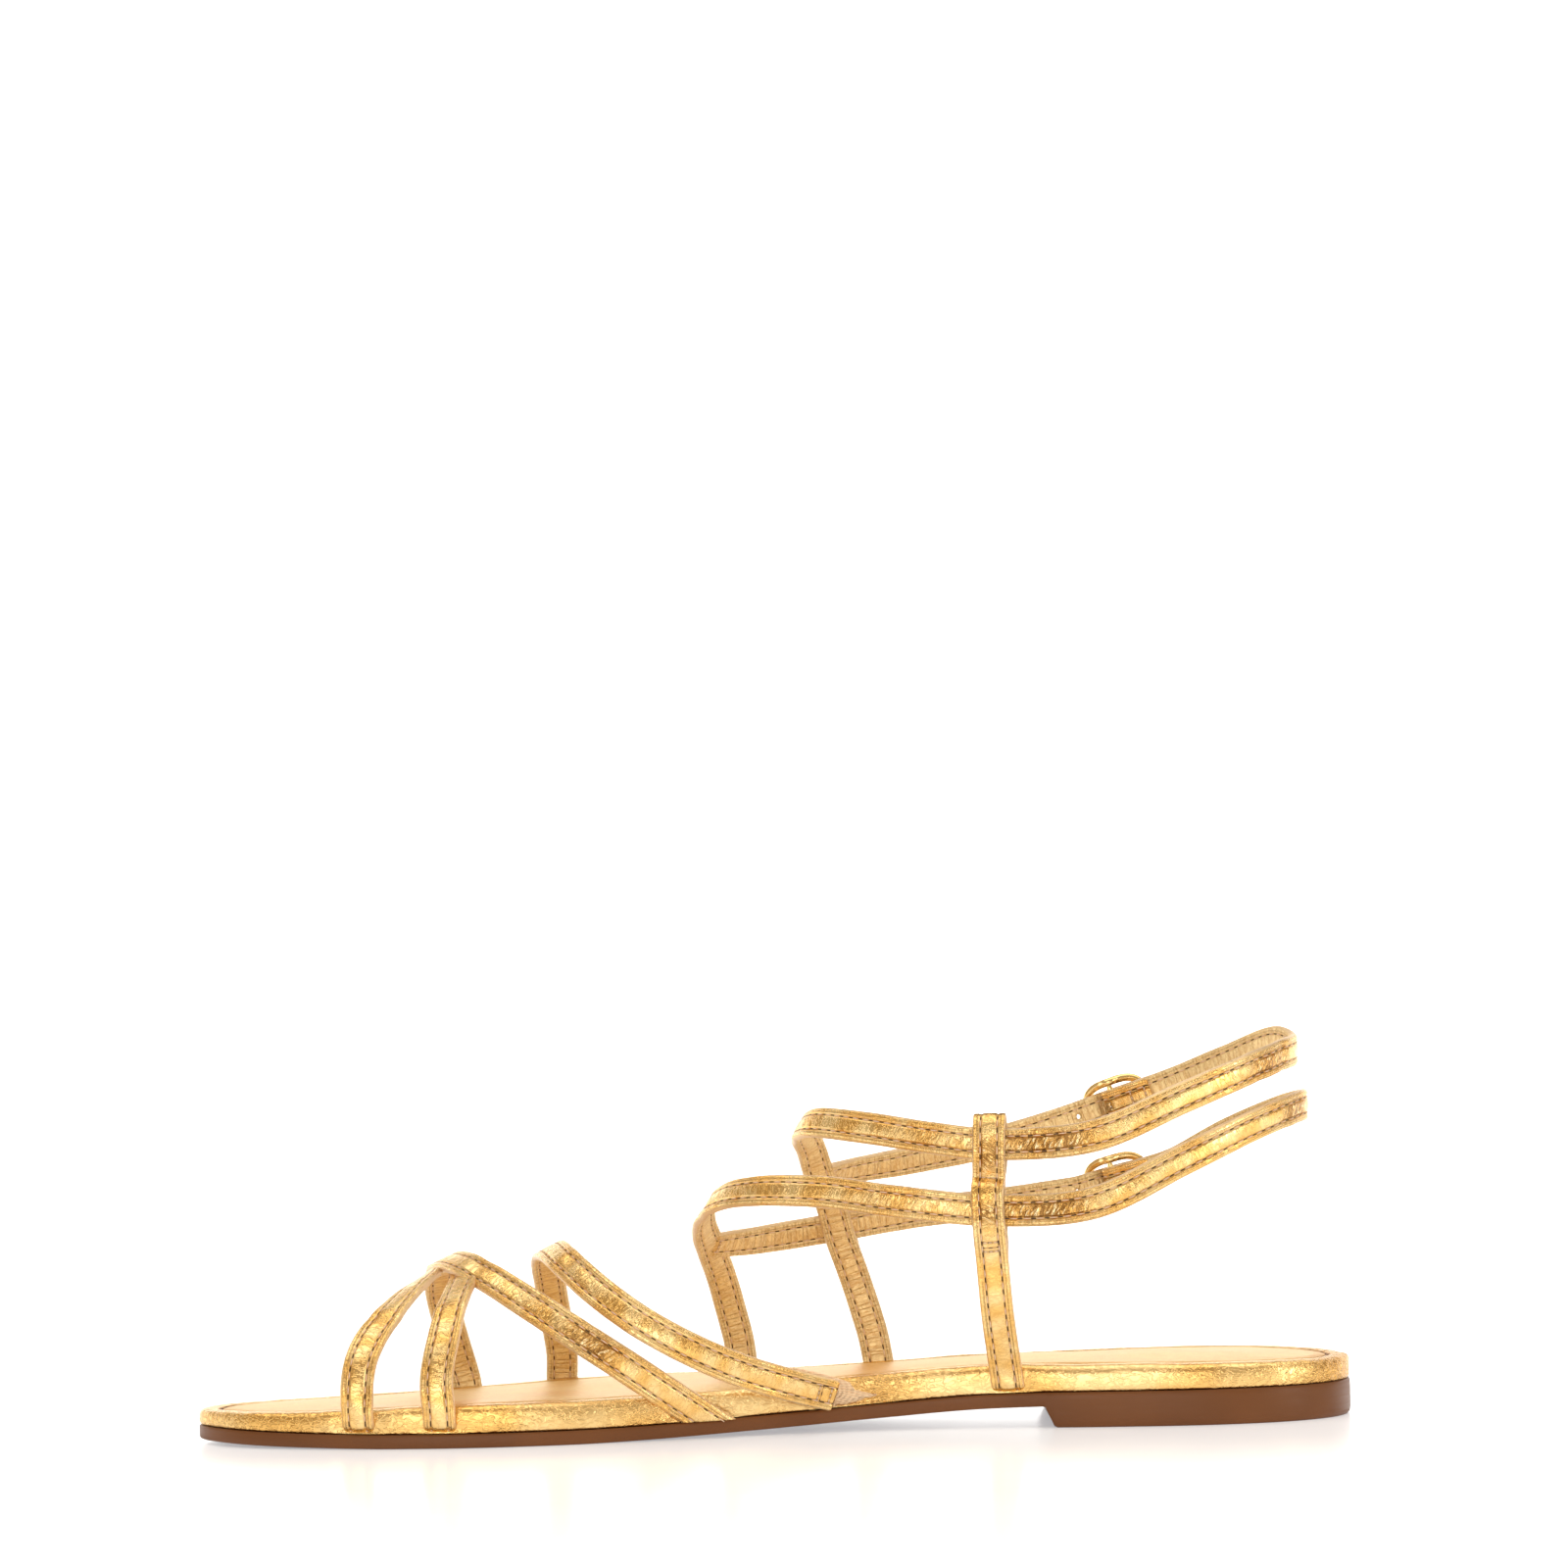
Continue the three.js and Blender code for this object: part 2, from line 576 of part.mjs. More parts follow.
// The frame of a strap at a share of its way over its stops
function track(stops) {
  const curve = (points, kind) => new THREE.CatmullRomCurve3(points, false, kind, 0.5);
  const path = curve(stops.map((s) => s.point), 'centripetal');
  const turn = curve(stops.map((s) => s.out), 'catmullrom');
  const slant = curve(stops.map((s) => new THREE.Vector3(s.skew, 0, 0)), 'catmullrom');
  return (t) => {
    const tangent = path.getTangent(t);
    const wide = new THREE.Vector3().crossVectors(tangent, turn.getPoint(t)).normalize();
    const out = new THREE.Vector3().crossVectors(wide, tangent).normalize();
    wide.addScaledVector(tangent, slant.getPoint(t).x);
    return { point: path.getPoint(t), tangent, out, wide };
  };
}

// The sections along a strap: a fine walk over its stops, thinned to where it bends or twists
function walk(stops) {
  const at = track(stops);
  const steps = (stops.length - 1) * WALK_STEPS;
  const found = [];
  for (let i = 0; i <= steps; i += 1) {
    const here = at(i / steps);
    const before = found[found.length - 1];
    const turned = before && (here.tangent.angleTo(before.tangent) > MAX_TURN
      || here.out.angleTo(before.out) > MAX_TURN || here.point.distanceTo(before.point) > MAX_STEP);
    if (i === 0 || i === steps || turned) found.push({ ...here, at: i / steps });
  }
  return found;
}

// A flat strap with rounded edges through sections
function ribbon(sections, { width = STRAP_WIDTH, thickness = STRAP_THICKNESS } = {}) {
  const r = Math.min(STRAP_EDGE_RADIUS, thickness * 0.35);
  const [w, t] = [width / 2, thickness / 2];
  const outline = [
    [w, -t + r], [w, t - r], [w - r, t], [-w + r, t], [-w, t - r], [-w, -t + r], [-w + r, -t], [w - r, -t],
  ];
  const rings = sections.map(({ point, wide, out }) => outline.map(
    ([across, high]) => point.clone().addScaledVector(wide, across).addScaledVector(out, high),
  ));
  return toSolid(loft(rings));
}

const strap = (stops, size) => ribbon(walk(stops), size);

// A round wire that follows points
function wire(points, radius, steps, joined = false) {
  const path = new THREE.CatmullRomCurve3(points, joined, 'centripetal');
  const { normals, binormals } = path.computeFrenetFrames(steps, joined);
  const rings = [];
  for (let i = 0; i < steps + (joined ? 0 : 1); i += 1) {
    rings.push(Array.from({ length: WIRE_SIDES }, (_, side) => {
      const angle = (2 * Math.PI * side) / WIRE_SIDES;
      return path.getPointAt(i / steps)
        .addScaledVector(normals[i], radius * Math.cos(angle))
        .addScaledVector(binormals[i], radius * Math.sin(angle));
    }));
  }
  return toSolid(loft(rings, joined));
}

const join = (...solids) => solids.reduce((sum, solid) => sum.add(solid));
const cut = (solid, ...cutters) => cutters.reduce((rest, cutter) => rest.subtract(cutter), solid);

// Sole: a moulded unit with a low heel
function makeOutsole() {
  return toSolid(soleBody([
    ring(SOLE_EDGE_CHAMFER, underside),
    ring(0, (s) => underside(s) + SOLE_EDGE_CHAMFER),
    ring(0, soleTop),
  ]));
}

// Room in the insole's edge for the lasted end of a strap, whose first sections it shares
function footingRoom(stops, { width = STRAP_WIDTH, thickness = STRAP_THICKNESS } = {}, spare = GAP) {
  const near = walk(stops).filter(({ at }) => at <= (FOOTING_STOPS + 2) / (stops.length - 1));
  const [end] = near;
  const beyond = { ...end, point: end.point.clone().addScaledVector(end.tangent, -GAP) };
  return ribbon([beyond, ...near], { width: width + 2 * spare, thickness: thickness + 3 * spare });
}

// A strap that leans bends sharply at its foot, where only a close room and a wide one together clear it
const leaningRoom = (stops, size) => join(
  footingRoom(stops, size, 0.8 * GAP),
  footingRoom(stops, size, 1.6 * GAP),
);

// Insole: a wrapped board with a round rim, and a bed for the sock lining inside its seam
function makeInsole(rooms) {
  const level = (share) => (s, side) => insoleBottom(s) + share * (insoleTop(s, side) - insoleBottom(s));
  const body = toSolid(soleBody([
    ...RIM_PROFILE.map(({ inset, share }) => ring(inset * RIM_WIDTH, level(share))),
    ring(RIM_WIDTH, (s, side) => insoleTop(s, side) - SEAM_DEPTH),
  ]));
  const [insole] = cut(body, ...rooms).decompose().sort((a, b) => b.volume() - a.volume());
  return insole;
}

// Sock lining: a thin crowned pad that lies in the insole's bed
function makeSockLining() {
  const bed = (s, side) => insoleTop(s, side) - SEAM_DEPTH + GAP;
  const inset = RIM_WIDTH + GAP;
  return toSolid(soleBody([
    ring(inset, bed),
    ring(inset, (s, side) => bed(s, side) + SEAM_DEPTH / 2),
    ring(inset + SOCK_EDGE, (s, side) => bed(s, side) + SEAM_DEPTH),
  ], SOCK_COLUMNS, (share) => SOCK_CROWN * Math.sin(Math.PI * share)));
}

// A buckle's own frame: ahead along the strap, outwards from the foot, and up its bar
function buckleFrame(row, rearRow, frontRow) {
  const origin = place(row);
  const ahead = place(frontRow).sub(place(rearRow)).normalize();
  const bar = new THREE.Vector3().crossVectors(ahead, facing(row, origin)).normalize();
  const out = new THREE.Vector3().crossVectors(bar, ahead).normalize();
  const at = (forward, high, along = 0) => origin.clone()
    .addScaledVector(ahead, forward).addScaledVector(out, high).addScaledVector(bar, along);
  return { origin, ahead, out, bar, at };
}

const HALF_LENGTH = BUCKLE_LENGTH / 2 - BUCKLE_WIRE_RADIUS;
const HALF_BAR = ANKLE_STRAP_WIDTH / 2 + BUCKLE_SIDE_ROOM + BUCKLE_WIRE_RADIUS;
const FOLD_RADIUS = BAR_RADIUS + GAP + LAYER_THICKNESS / 2;
const HOLED_OVER_BAR = FOLD_RADIUS + LAYER_THICKNESS / 2 + GAP + HOLED_THICKNESS / 2;
const HOLED_AT_RING = BUCKLE_RISE - BUCKLE_WIRE_RADIUS - HOLED_THICKNESS / 2 - 2 * GAP;
const MAIN_AT_RING = HOLED_AT_RING - HOLED_THICKNESS / 2 - GAP - STRAP_THICKNESS / 2;
const TAB_AT_RING = MAIN_AT_RING - STRAP_THICKNESS / 2 - LAYER_THICKNESS / 2 + LAYER_BITE;

// The holed strap dips under the ring's ends and rises over its bar
const HOLED_OVER_BUCKLE = [
  { forward: HALF_LENGTH + 2, high: HOLED_AT_RING },
  { forward: HALF_LENGTH - 1.4, high: HOLED_AT_RING + 0.1 },
  { forward: 2.4, high: HOLED_OVER_BAR - 0.45 },
  { forward: 0, high: HOLED_OVER_BAR },
  { forward: -2.4, high: HOLED_OVER_BAR - 0.45 },
  { forward: 1.4 - HALF_LENGTH, high: HOLED_AT_RING + 0.1 },
  { forward: -1.5 - HALF_LENGTH, high: HOLED_AT_RING },
];

// The buckle: an oval ring, arched from its bar to its ends
function makeBuckle({ at }) {
  const points = Array.from({ length: BUCKLE_POINTS }, (_, i) => {
    const angle = (2 * Math.PI * i) / BUCKLE_POINTS;
    const round = (value) => Math.sign(value) * Math.abs(value) ** BUCKLE_ROUNDNESS;
    const forward = round(Math.cos(angle));
    const rise = BUCKLE_RISE * Math.sqrt(Math.abs(forward));
    return at(HALF_LENGTH * forward, rise, HALF_BAR * round(Math.sin(angle)));
  });
  const bar = [at(0, 0, -HALF_BAR), at(0, 0, 0), at(0, 0, HALF_BAR)];
  return join(wire(points, BUCKLE_WIRE_RADIUS, BUCKLE_STEPS, true), wire(bar, BAR_RADIUS, 2));
}

// The prong: hooked round the bar, up through the holed strap and out over the ring
function prongPoints({ at }) {
  const hook = BAR_RADIUS + GAP + PRONG_RADIUS;
  const round = PRONG_HOOK.map((degrees) => {
    const angle = THREE.MathUtils.degToRad(degrees);
    return at(hook * Math.cos(angle), hook * Math.sin(angle));
  });
  const rest = BUCKLE_RISE + BUCKLE_WIRE_RADIUS + GAP + PRONG_RADIUS;
  return [
    ...round,
    at(PRONG_RADIUS * 2, HOLED_OVER_BAR - HOLED_THICKNESS * 0.6),
    at(PRONG_RADIUS * 3.4, HOLED_OVER_BAR + HOLED_THICKNESS * 0.3),
    at(PRONG_RADIUS * 6, rest),
    at(HALF_LENGTH + BUCKLE_WIRE_RADIUS, rest),
  ];
}

// The end of a strap that holds a buckle: folded round its bar and sewn down on the inside
function foldRoundBar({ at, out, ahead }) {
  const fold = FOLD_ROUND_BAR.map((degrees) => {
    const angle = THREE.MathUtils.degToRad(degrees);
    const [c, s] = [Math.cos(angle), Math.sin(angle)];
    const outwards = ahead.clone().multiplyScalar(c).addScaledVector(out, s);
    return stop(at(FOLD_RADIUS * c, FOLD_RADIUS * s), outwards);
  });
  const inside = out.clone().negate();
  return [
    stop(at(-TAB_LENGTH * 0.6, MAIN_AT_RING + GAP), out),
    stop(at(-TAB_LENGTH / 3, 0.2), out),
    ...fold,
    stop(at(-TAB_LENGTH / 3, TAB_AT_RING + 0.5), inside),
    stop(at(-TAB_LENGTH * 0.6, TAB_AT_RING), inside),
    stop(at(-TAB_LENGTH, TAB_AT_RING), inside),
  ];
}

function prongSlot({ origin, ahead, out, bar, at }) {
  const slot = new THREE.BoxGeometry(
    SLOT_LENGTH, 2 * (FOLD_RADIUS + LAYER_THICKNESS), 2 * (PRONG_RADIUS + GAP),
  );
  slot.applyMatrix4(new THREE.Matrix4().makeBasis(ahead, out, bar).setPosition(at(0, 0)));
  return toSolid(slot);
}

const makeHole = (point, direction) => {
  const hole = new THREE.CylinderGeometry(HOLE_RADIUS, HOLE_RADIUS, PUNCH_LENGTH, HOLE_SIDES);
  hole.applyQuaternion(new THREE.Quaternion().setFromUnitVectors(new THREE.Vector3(0, 1, 0), direction));
  hole.translate(point.x, point.y, point.z);
  return toSolid(hole);
};

// An ankle strap: its upright and the loop round the ankle with the buckle's fold, and the holed strap
// that starts on the upright, runs over the buckle's bar and lies on the loop
function makeAnkleStrap(footingName, rows, holedRows, buckleRow) {
  const frame = buckleFrame(buckleRow, rows[rows.length - 1], holedRows[holedRows.length - 1]);
  const loopStops = course(rows);
  const main = [
    ...footing(FOOTING[footingName]), ...loopStops,
    stop(frame.at(-TAB_LENGTH * 0.95, MAIN_AT_RING), frame.out),
    stop(frame.at(-TAB_LENGTH * 0.47, MAIN_AT_RING + GAP), frame.out),
  ];
  const over = (STRAP_THICKNESS + HOLED_THICKNESS) / 2 + GAP;
  const tail = offset(back(loopStops).slice(0, 2), over);
  const holed = [
    ...course(holedRows),
    ...HOLED_OVER_BUCKLE.map(({ forward, high }) => stop(frame.at(forward, high), frame.out)),
    tail[0],
    stop(tail[0].point.clone().lerp(tail[1].point, 0.45), tail[0].out.clone().lerp(tail[1].out, 0.45)),
  ];
  const layer = { width: ANKLE_STRAP_WIDTH - 0.2, thickness: LAYER_THICKNESS };
  const fold = cut(strap(foldRoundBar(frame), layer), prongSlot(frame));
  const prong = prongPoints(frame);
  const holedSolid = cut(
    strap(holed, { width: ANKLE_STRAP_WIDTH, thickness: HOLED_THICKNESS }),
    wire(prong, PRONG_RADIUS + GAP, PRONG_STEPS),
    makeHole(frame.at(HOLE_PITCH, HOLED_AT_RING), frame.out),
  );
  return {
    leather: join(strap(main, { width: ANKLE_STRAP_WIDTH }), fold, holedSolid),
    buckle: makeBuckle(frame),
    prong: wire(prong, PRONG_RADIUS, PRONG_STEPS),
    stops: main,
  };
}

// The inner strap: folded over its top, its layers sewn together below, between and above the ankle straps
function makeKeeperStrap() {
  const sewn = LAYER_THICKNESS / 2 - LAYER_BITE / 2;
  const open = STRAP_THICKNESS / 2 + 2 * GAP + LAYER_THICKNESS / 2;
  const outside = new THREE.Vector3(Math.sin(KEEPER_TURN), Math.cos(KEEPER_TURN), 0);
  const layerStop = (row, side) => stop(
    place(row).addScaledVector(outside, side * (sewn + row.room * (open - sewn))),
    outside.clone().multiplyScalar(side),
  );
  const top = { ...KEEPER_STRAP[KEEPER_STRAP.length - 1], up: KEEPER_TOP, room: 0 };
  const crown = stop(place(top), new THREE.Vector3(0, 0, 1));
  const outer = [
    ...footing(FOOTING.keeper, LAYER_THICKNESS), ...KEEPER_STRAP.map((row) => layerStop(row, 1)), crown,
  ];
  const inner = [
    crown, ...back(KEEPER_STRAP.slice(1)).map((row) => layerStop(row, -1)),
    layerStop({ ...KEEPER_STRAP[1], up: KEEPER_INNER_END }, -1),
  ];
  const options = { width: STRAP_WIDTH, thickness: LAYER_THICKNESS };
  return { leather: join(strap(outer, options), strap(inner, options)), stops: outer };
}

// The loop on the outer upright that the lower holed strap runs through
function makeUprightLoop(stops) {
  const height = place(LOWER_HOLED_STRAP[3]).z;
  const along = track(stops);
  const step = 0.001;
  let t = 0;
  while (along(t).point.z < height) t += step;
  const perMm = step / along(t).point.distanceTo(along(t + step).point);
  const at = (up, lift) => {
    const { point, out } = along(t + up * perMm);
    return stop(point.addScaledVector(out, lift), out);
  };
  const sewn = (STRAP_THICKNESS + LAYER_THICKNESS) / 2 - LAYER_BITE;
  const open = sewn + LAYER_BITE + HOLED_THICKNESS + 5 * GAP;
  const half = ANKLE_STRAP_WIDTH / 2;
  return strap([
    at(-half - LOOP_SEW_END, sewn), at(-half - LOOP_SEW_START, sewn), at(-half - LOOP_OPENING, open),
    at(half + LOOP_OPENING, open), at(half + LOOP_SEW_START, sewn), at(half + LOOP_SEW_END, sewn),
  ], { width: ANKLE_STRAP_WIDTH - 0.2, thickness: LAYER_THICKNESS });
}

// The elastic runs up behind the end of the instep strap
function underInstepStrap() {
  const [end, next] = course(INSTEP_STRAP);
  const between = stop(end.point.clone().lerp(next.point, 0.5), end.out);
  return offset([between, next], -(STRAP_THICKNESS + ELASTIC_THICKNESS) / 2 - 2 * GAP);
}

const straps = {
  firstToe: [...footing(FOOTING.firstToe), ...course(FIRST_TOE_STRAP)],
  secondToe: [...footing(FOOTING.secondToe), ...course(SECOND_TOE_STRAP)],
  crossing: [
    ...footing(FOOTING.crossingInner), ...course(CROSSING_STRAP), ...back(footing(FOOTING.crossingOuter)),
  ],
  instep: [...course(INSTEP_STRAP), ...back(footing(FOOTING.instepOuter))],
  elastic: [...footing(FOOTING.elastic, ELASTIC_THICKNESS), ...underInstepStrap()],
};
const elasticSize = { width: ELASTIC_WIDTH, thickness: ELASTIC_THICKNESS };

const toeStraps = join(strap(straps.firstToe), strap(straps.secondToe), strap(straps.crossing));
const lower = makeAnkleStrap('lowerAnkle', LOWER_ANKLE_STRAP, LOWER_HOLED_STRAP, LOWER_BUCKLE);
const upper = makeAnkleStrap('upperAnkle', UPPER_ANKLE_STRAP, UPPER_HOLED_STRAP, UPPER_BUCKLE);
const keeper = makeKeeperStrap();

const rooms = [
  footingRoom(straps.firstToe),
  footingRoom(straps.secondToe),
  leaningRoom(straps.crossing, {}),
  footingRoom(back(straps.crossing)),
  footingRoom(back(straps.instep)),
  leaningRoom(straps.elastic, elasticSize),
  footingRoom(lower.stops, { width: ANKLE_STRAP_WIDTH }),
  footingRoom(upper.stops, { width: ANKLE_STRAP_WIDTH }),
  footingRoom(keeper.stops, { thickness: LAYER_THICKNESS }),
];

const material = (color, roughness, metalness) => new THREE.MeshStandardMaterial(
  { color, roughness, metalness },
);
const leather = () => material(0xe0ae5a, 0.32, 0.85);
const metal = () => material(0xe2b862, 0.18, 1);

const PARTS = {
  outsole: [makeOutsole(), material(0x7a4a28, 0.5, 0)],
  insole: [makeInsole(rooms), leather()],
  sock_lining: [makeSockLining(), leather()],
  toe_straps: [toeStraps, leather()],
  instep_strap: [strap(straps.instep), leather()],
  elastic_gusset: [strap(straps.elastic, elasticSize), material(0xd9b48c, 0.85, 0)],
  ankle_strap_lower: [lower.leather, leather()],
  ankle_strap_upper: [join(upper.leather, makeUprightLoop(upper.stops)), leather()],
  keeper_strap: [keeper.leather, leather()],
  buckle_lower: [lower.buckle, metal()],
  buckle_upper: [upper.buckle, metal()],
  prong_lower: [lower.prong, metal()],
  prong_upper: [upper.prong, metal()],
};

const sandal = new THREE.Group();
for (const [name, [solid, finish]] of Object.entries(PARTS)) {
  const mesh = new THREE.Mesh(toGeometry(solid), finish);
  mesh.name = name;
  sandal.add(mesh);
}

// The origin lies on the ground under the middle of the shoe's box
const bounds = new THREE.Box3().setFromObject(sandal);
const middle = bounds.getCenter(new THREE.Vector3());
for (const mesh of sandal.children) mesh.geometry.translate(-middle.x, -middle.y, -bounds.min.z);

export default sandal;
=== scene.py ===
# %% [markdown]
# # A strappy gladiator sandal in gold leather
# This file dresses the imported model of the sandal: a right shoe, seen from its inner side in the photograph.
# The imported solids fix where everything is. Each piece made here stands where one of them stands, with the
# rolled edges, stitches and wrinkles that the solids leave out.
# +X points to the toe, +Y to the inner side of the foot and +Z up. Lengths are worked out in millimetres and
# turned into metres when a mesh is made.

# %% Set-up
import math
from collections import namedtuple

import bmesh
import bpy
from mathutils import Matrix, Vector, noise


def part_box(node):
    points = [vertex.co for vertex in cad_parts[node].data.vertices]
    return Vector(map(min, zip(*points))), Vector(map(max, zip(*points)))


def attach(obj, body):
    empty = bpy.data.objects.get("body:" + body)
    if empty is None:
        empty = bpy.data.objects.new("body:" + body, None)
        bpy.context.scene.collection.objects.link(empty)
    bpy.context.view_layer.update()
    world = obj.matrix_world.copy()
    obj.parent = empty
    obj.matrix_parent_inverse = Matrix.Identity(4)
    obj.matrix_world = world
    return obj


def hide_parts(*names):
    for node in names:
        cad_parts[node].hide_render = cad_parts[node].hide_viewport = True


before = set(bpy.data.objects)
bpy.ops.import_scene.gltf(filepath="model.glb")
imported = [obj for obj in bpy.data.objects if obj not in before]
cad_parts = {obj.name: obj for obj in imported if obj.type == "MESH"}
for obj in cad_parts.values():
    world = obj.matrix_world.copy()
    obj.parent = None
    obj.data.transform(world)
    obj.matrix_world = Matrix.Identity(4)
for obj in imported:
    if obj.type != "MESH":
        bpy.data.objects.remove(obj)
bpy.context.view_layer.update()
MM = 0.001
print("nodes:", ", ".join(sorted(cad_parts)))

# %% [markdown]
# ## Sizes
# These are the named sizes of the part's source, in millimetres. The dressed pieces are worked out from the
# same values as the solids, so the two stay in the same place. The solids' meshes could be measured instead,
# but a size with a name says what it is for.

# %% Sizes
SHOE_LENGTH = 250
BALL_WIDTH = 80
SOLE_THICKNESS = 3
HEEL_SEAT_HEIGHT = 7.6
TOE_SPRING = 0.9
HEEL_LENGTH = 67.5
BREAST_SLANT = 2
INSOLE_THICKNESS = 6.2
RIM_WIDTH = 4.8
SOCK_CROWN = 0.45
INSTEP_HEIGHT = 60
STRAP_WIDTH = 7.1
ANKLE_STRAP_WIDTH = 6.9
STRAP_THICKNESS = 1.8
LAYER_THICKNESS = 1.2
HOLED_THICKNESS = 1.6
LAYER_BITE = 0.3
ELASTIC_WIDTH = 7
ELASTIC_THICKNESS = 1
LASTING_MARGIN = 8
RIM_BITE = 1.1
BUCKLE_LENGTH = 15.4
BUCKLE_WIRE_RADIUS = 0.9
BUCKLE_SIDE_ROOM = 0.7
BUCKLE_RISE = 3.2
BUCKLE_ROUNDNESS = 0.7
BAR_RADIUS = 0.75
PRONG_RADIUS = 0.5
TAB_LENGTH = 9
HOLE_PITCH = 9.4
HOLE_RADIUS = 0.9
SLOT_LENGTH = 6
LOOP_OPENING = 1.3
LOOP_SEW_START = 4
LOOP_SEW_END = 6.5
GAP = 0.3
FOOT_AXIS_HEIGHT = 8
LEG_AXIS = 0.2
STEEP_LEAN = 0.5

# Stitches run in two rows along each strap, and in short rows across it where layers are joined
STITCH_PITCH = 2.8
THREAD_LENGTH = 1.75
THREAD_RADIUS = 0.16
ROW_INSET = 1.75
GROOVE_DEPTH = 0.24
print("shoe of", SHOE_LENGTH, "by", BALL_WIDTH, "mm, straps of", STRAP_WIDTH, "mm")

# %% [markdown]
# ## Tables of the sole
# The sole's outline, its arch, its toe spring and the thickness of its padding change along the shoe. Each
# table gives them at a few places: along is a share of the shoe's length from the heel. A drawn curve would
# be harder to change by hand than a short table.

# %% Tables of the sole
def rows(columns, table):
    """A table as a list of rows, each a dictionary from column name to value."""
    return [dict(zip(columns.split(), line)) for line in table]


OUTLINE = rows("along medial lateral", [
    (0.000, 0.000, 0.000),
    (0.020, 0.180, -0.180),
    (0.060, 0.275, -0.285),
    (0.130, 0.325, -0.345),
    (0.220, 0.310, -0.362),
    (0.320, 0.262, -0.372),
    (0.420, 0.250, -0.402),
    (0.520, 0.305, -0.455),
    (0.620, 0.405, -0.510),
    (0.700, 0.462, -0.520),
    (0.760, 0.475, -0.498),
    (0.830, 0.450, -0.432),
    (0.900, 0.388, -0.315),
    (0.950, 0.312, -0.195),
    (0.985, 0.205, -0.055),
    (1.000, 0.090, 0.090),
])

ARCH = rows("along rise", [
    (0.27, 0.98),
    (0.33, 0.88),
    (0.40, 0.62),
    (0.48, 0.34),
    (0.56, 0.14),
    (0.66, 0.00),
    (0.84, 0.00),
    (1.00, 0.00),
])

SPRING = rows("along lift", [
    (0.00, 0.00),
    (0.84, 0.00),
    (0.92, 0.42),
    (1.00, 1.00),
])

PADDING = rows("along medial lateral", [
    (0.00, 0.80, 0.80),
    (0.12, 0.87, 0.84),
    (0.25, 0.92, 0.78),
    (0.38, 0.98, 0.79),
    (0.52, 0.94, 0.86),
    (0.64, 0.95, 0.84),
    (0.74, 0.94, 0.66),
    (0.83, 0.84, 0.54),
    (0.92, 0.64, 0.50),
    (1.00, 0.50, 0.50),
])
print(len(OUTLINE), "places on the outline")

# %% [markdown]
# ## Tables of the straps over the toes
# A strap is a list of places: along is a share of the shoe's length from the heel, across is a share of the
# ball width, positive on the inner side, and up is a share of the instep height above the sole. leg says
# whether the strap faces away from the foot's long axis (0) or from the upright axis of the leg (1).

# %% Tables of the straps over the toes
FIRST_TOE_STRAP = rows("along across up leg", [
    (0.856, 0.420, 0.176, 0.00),
    (0.853, 0.395, 0.255, 0.08),
    (0.845, 0.340, 0.331, 0.16),
    (0.832, 0.262, 0.404, 0.26),
    (0.817, 0.162, 0.467, 0.34),
    (0.801, 0.050, 0.516, 0.38),
    (0.791, -0.040, 0.542, 0.38),
    (0.786, -0.110, 0.542, 0.38),
])

SECOND_TOE_STRAP = rows("along across up leg", [
    (0.788, 0.466, 0.176, 0.05),
    (0.786, 0.446, 0.253, 0.10),
    (0.782, 0.408, 0.331, 0.15),
    (0.778, 0.352, 0.406, 0.20),
    (0.773, 0.275, 0.464, 0.25),
    (0.768, 0.185, 0.511, 0.25),
    (0.765, 0.085, 0.551, 0.25),
])

CROSSING_STRAP = rows("along across up leg", [
    (0.592, 0.380, 0.108, 0.00),
    (0.623, 0.412, 0.205, 0.00),
    (0.659, 0.420, 0.311, 0.05),
    (0.698, 0.358, 0.414, 0.15),
    (0.742, 0.225, 0.521, 0.25),
    (0.770, 0.095, 0.572, 0.32),
    (0.787, -0.050, 0.566, 0.34),
    (0.793, -0.215, 0.517, 0.22),
    (0.795, -0.340, 0.419, 0.10),
    (0.790, -0.425, 0.299, 0.05),
    (0.783, -0.478, 0.173, 0.00),
])

INSTEP_STRAP = rows("along across up leg", [
    (0.449, 0.294, 0.050, 0.00),
    (0.488, 0.325, 0.106, 0.00),
    (0.530, 0.372, 0.176, 0.00),
    (0.572, 0.405, 0.265, 0.05),
    (0.614, 0.400, 0.371, 0.15),
    (0.650, 0.338, 0.481, 0.30),
    (0.680, 0.190, 0.581, 0.35),
    (0.693, 0.025, 0.606, 0.35),
    (0.699, -0.150, 0.561, 0.25),
    (0.698, -0.310, 0.457, 0.15),
    (0.695, -0.430, 0.322, 0.05),
    (0.691, -0.500, 0.176, 0.00),
])
print(len(CROSSING_STRAP), "places on the crossing strap")

# %% [markdown]
# ## Tables of the ankle straps
# Each ankle strap is one long band. It starts under the insole on the outer side, goes over the instep and
# round the heel, and ends at its buckle. The holed strap is a second band that comes to meet it.

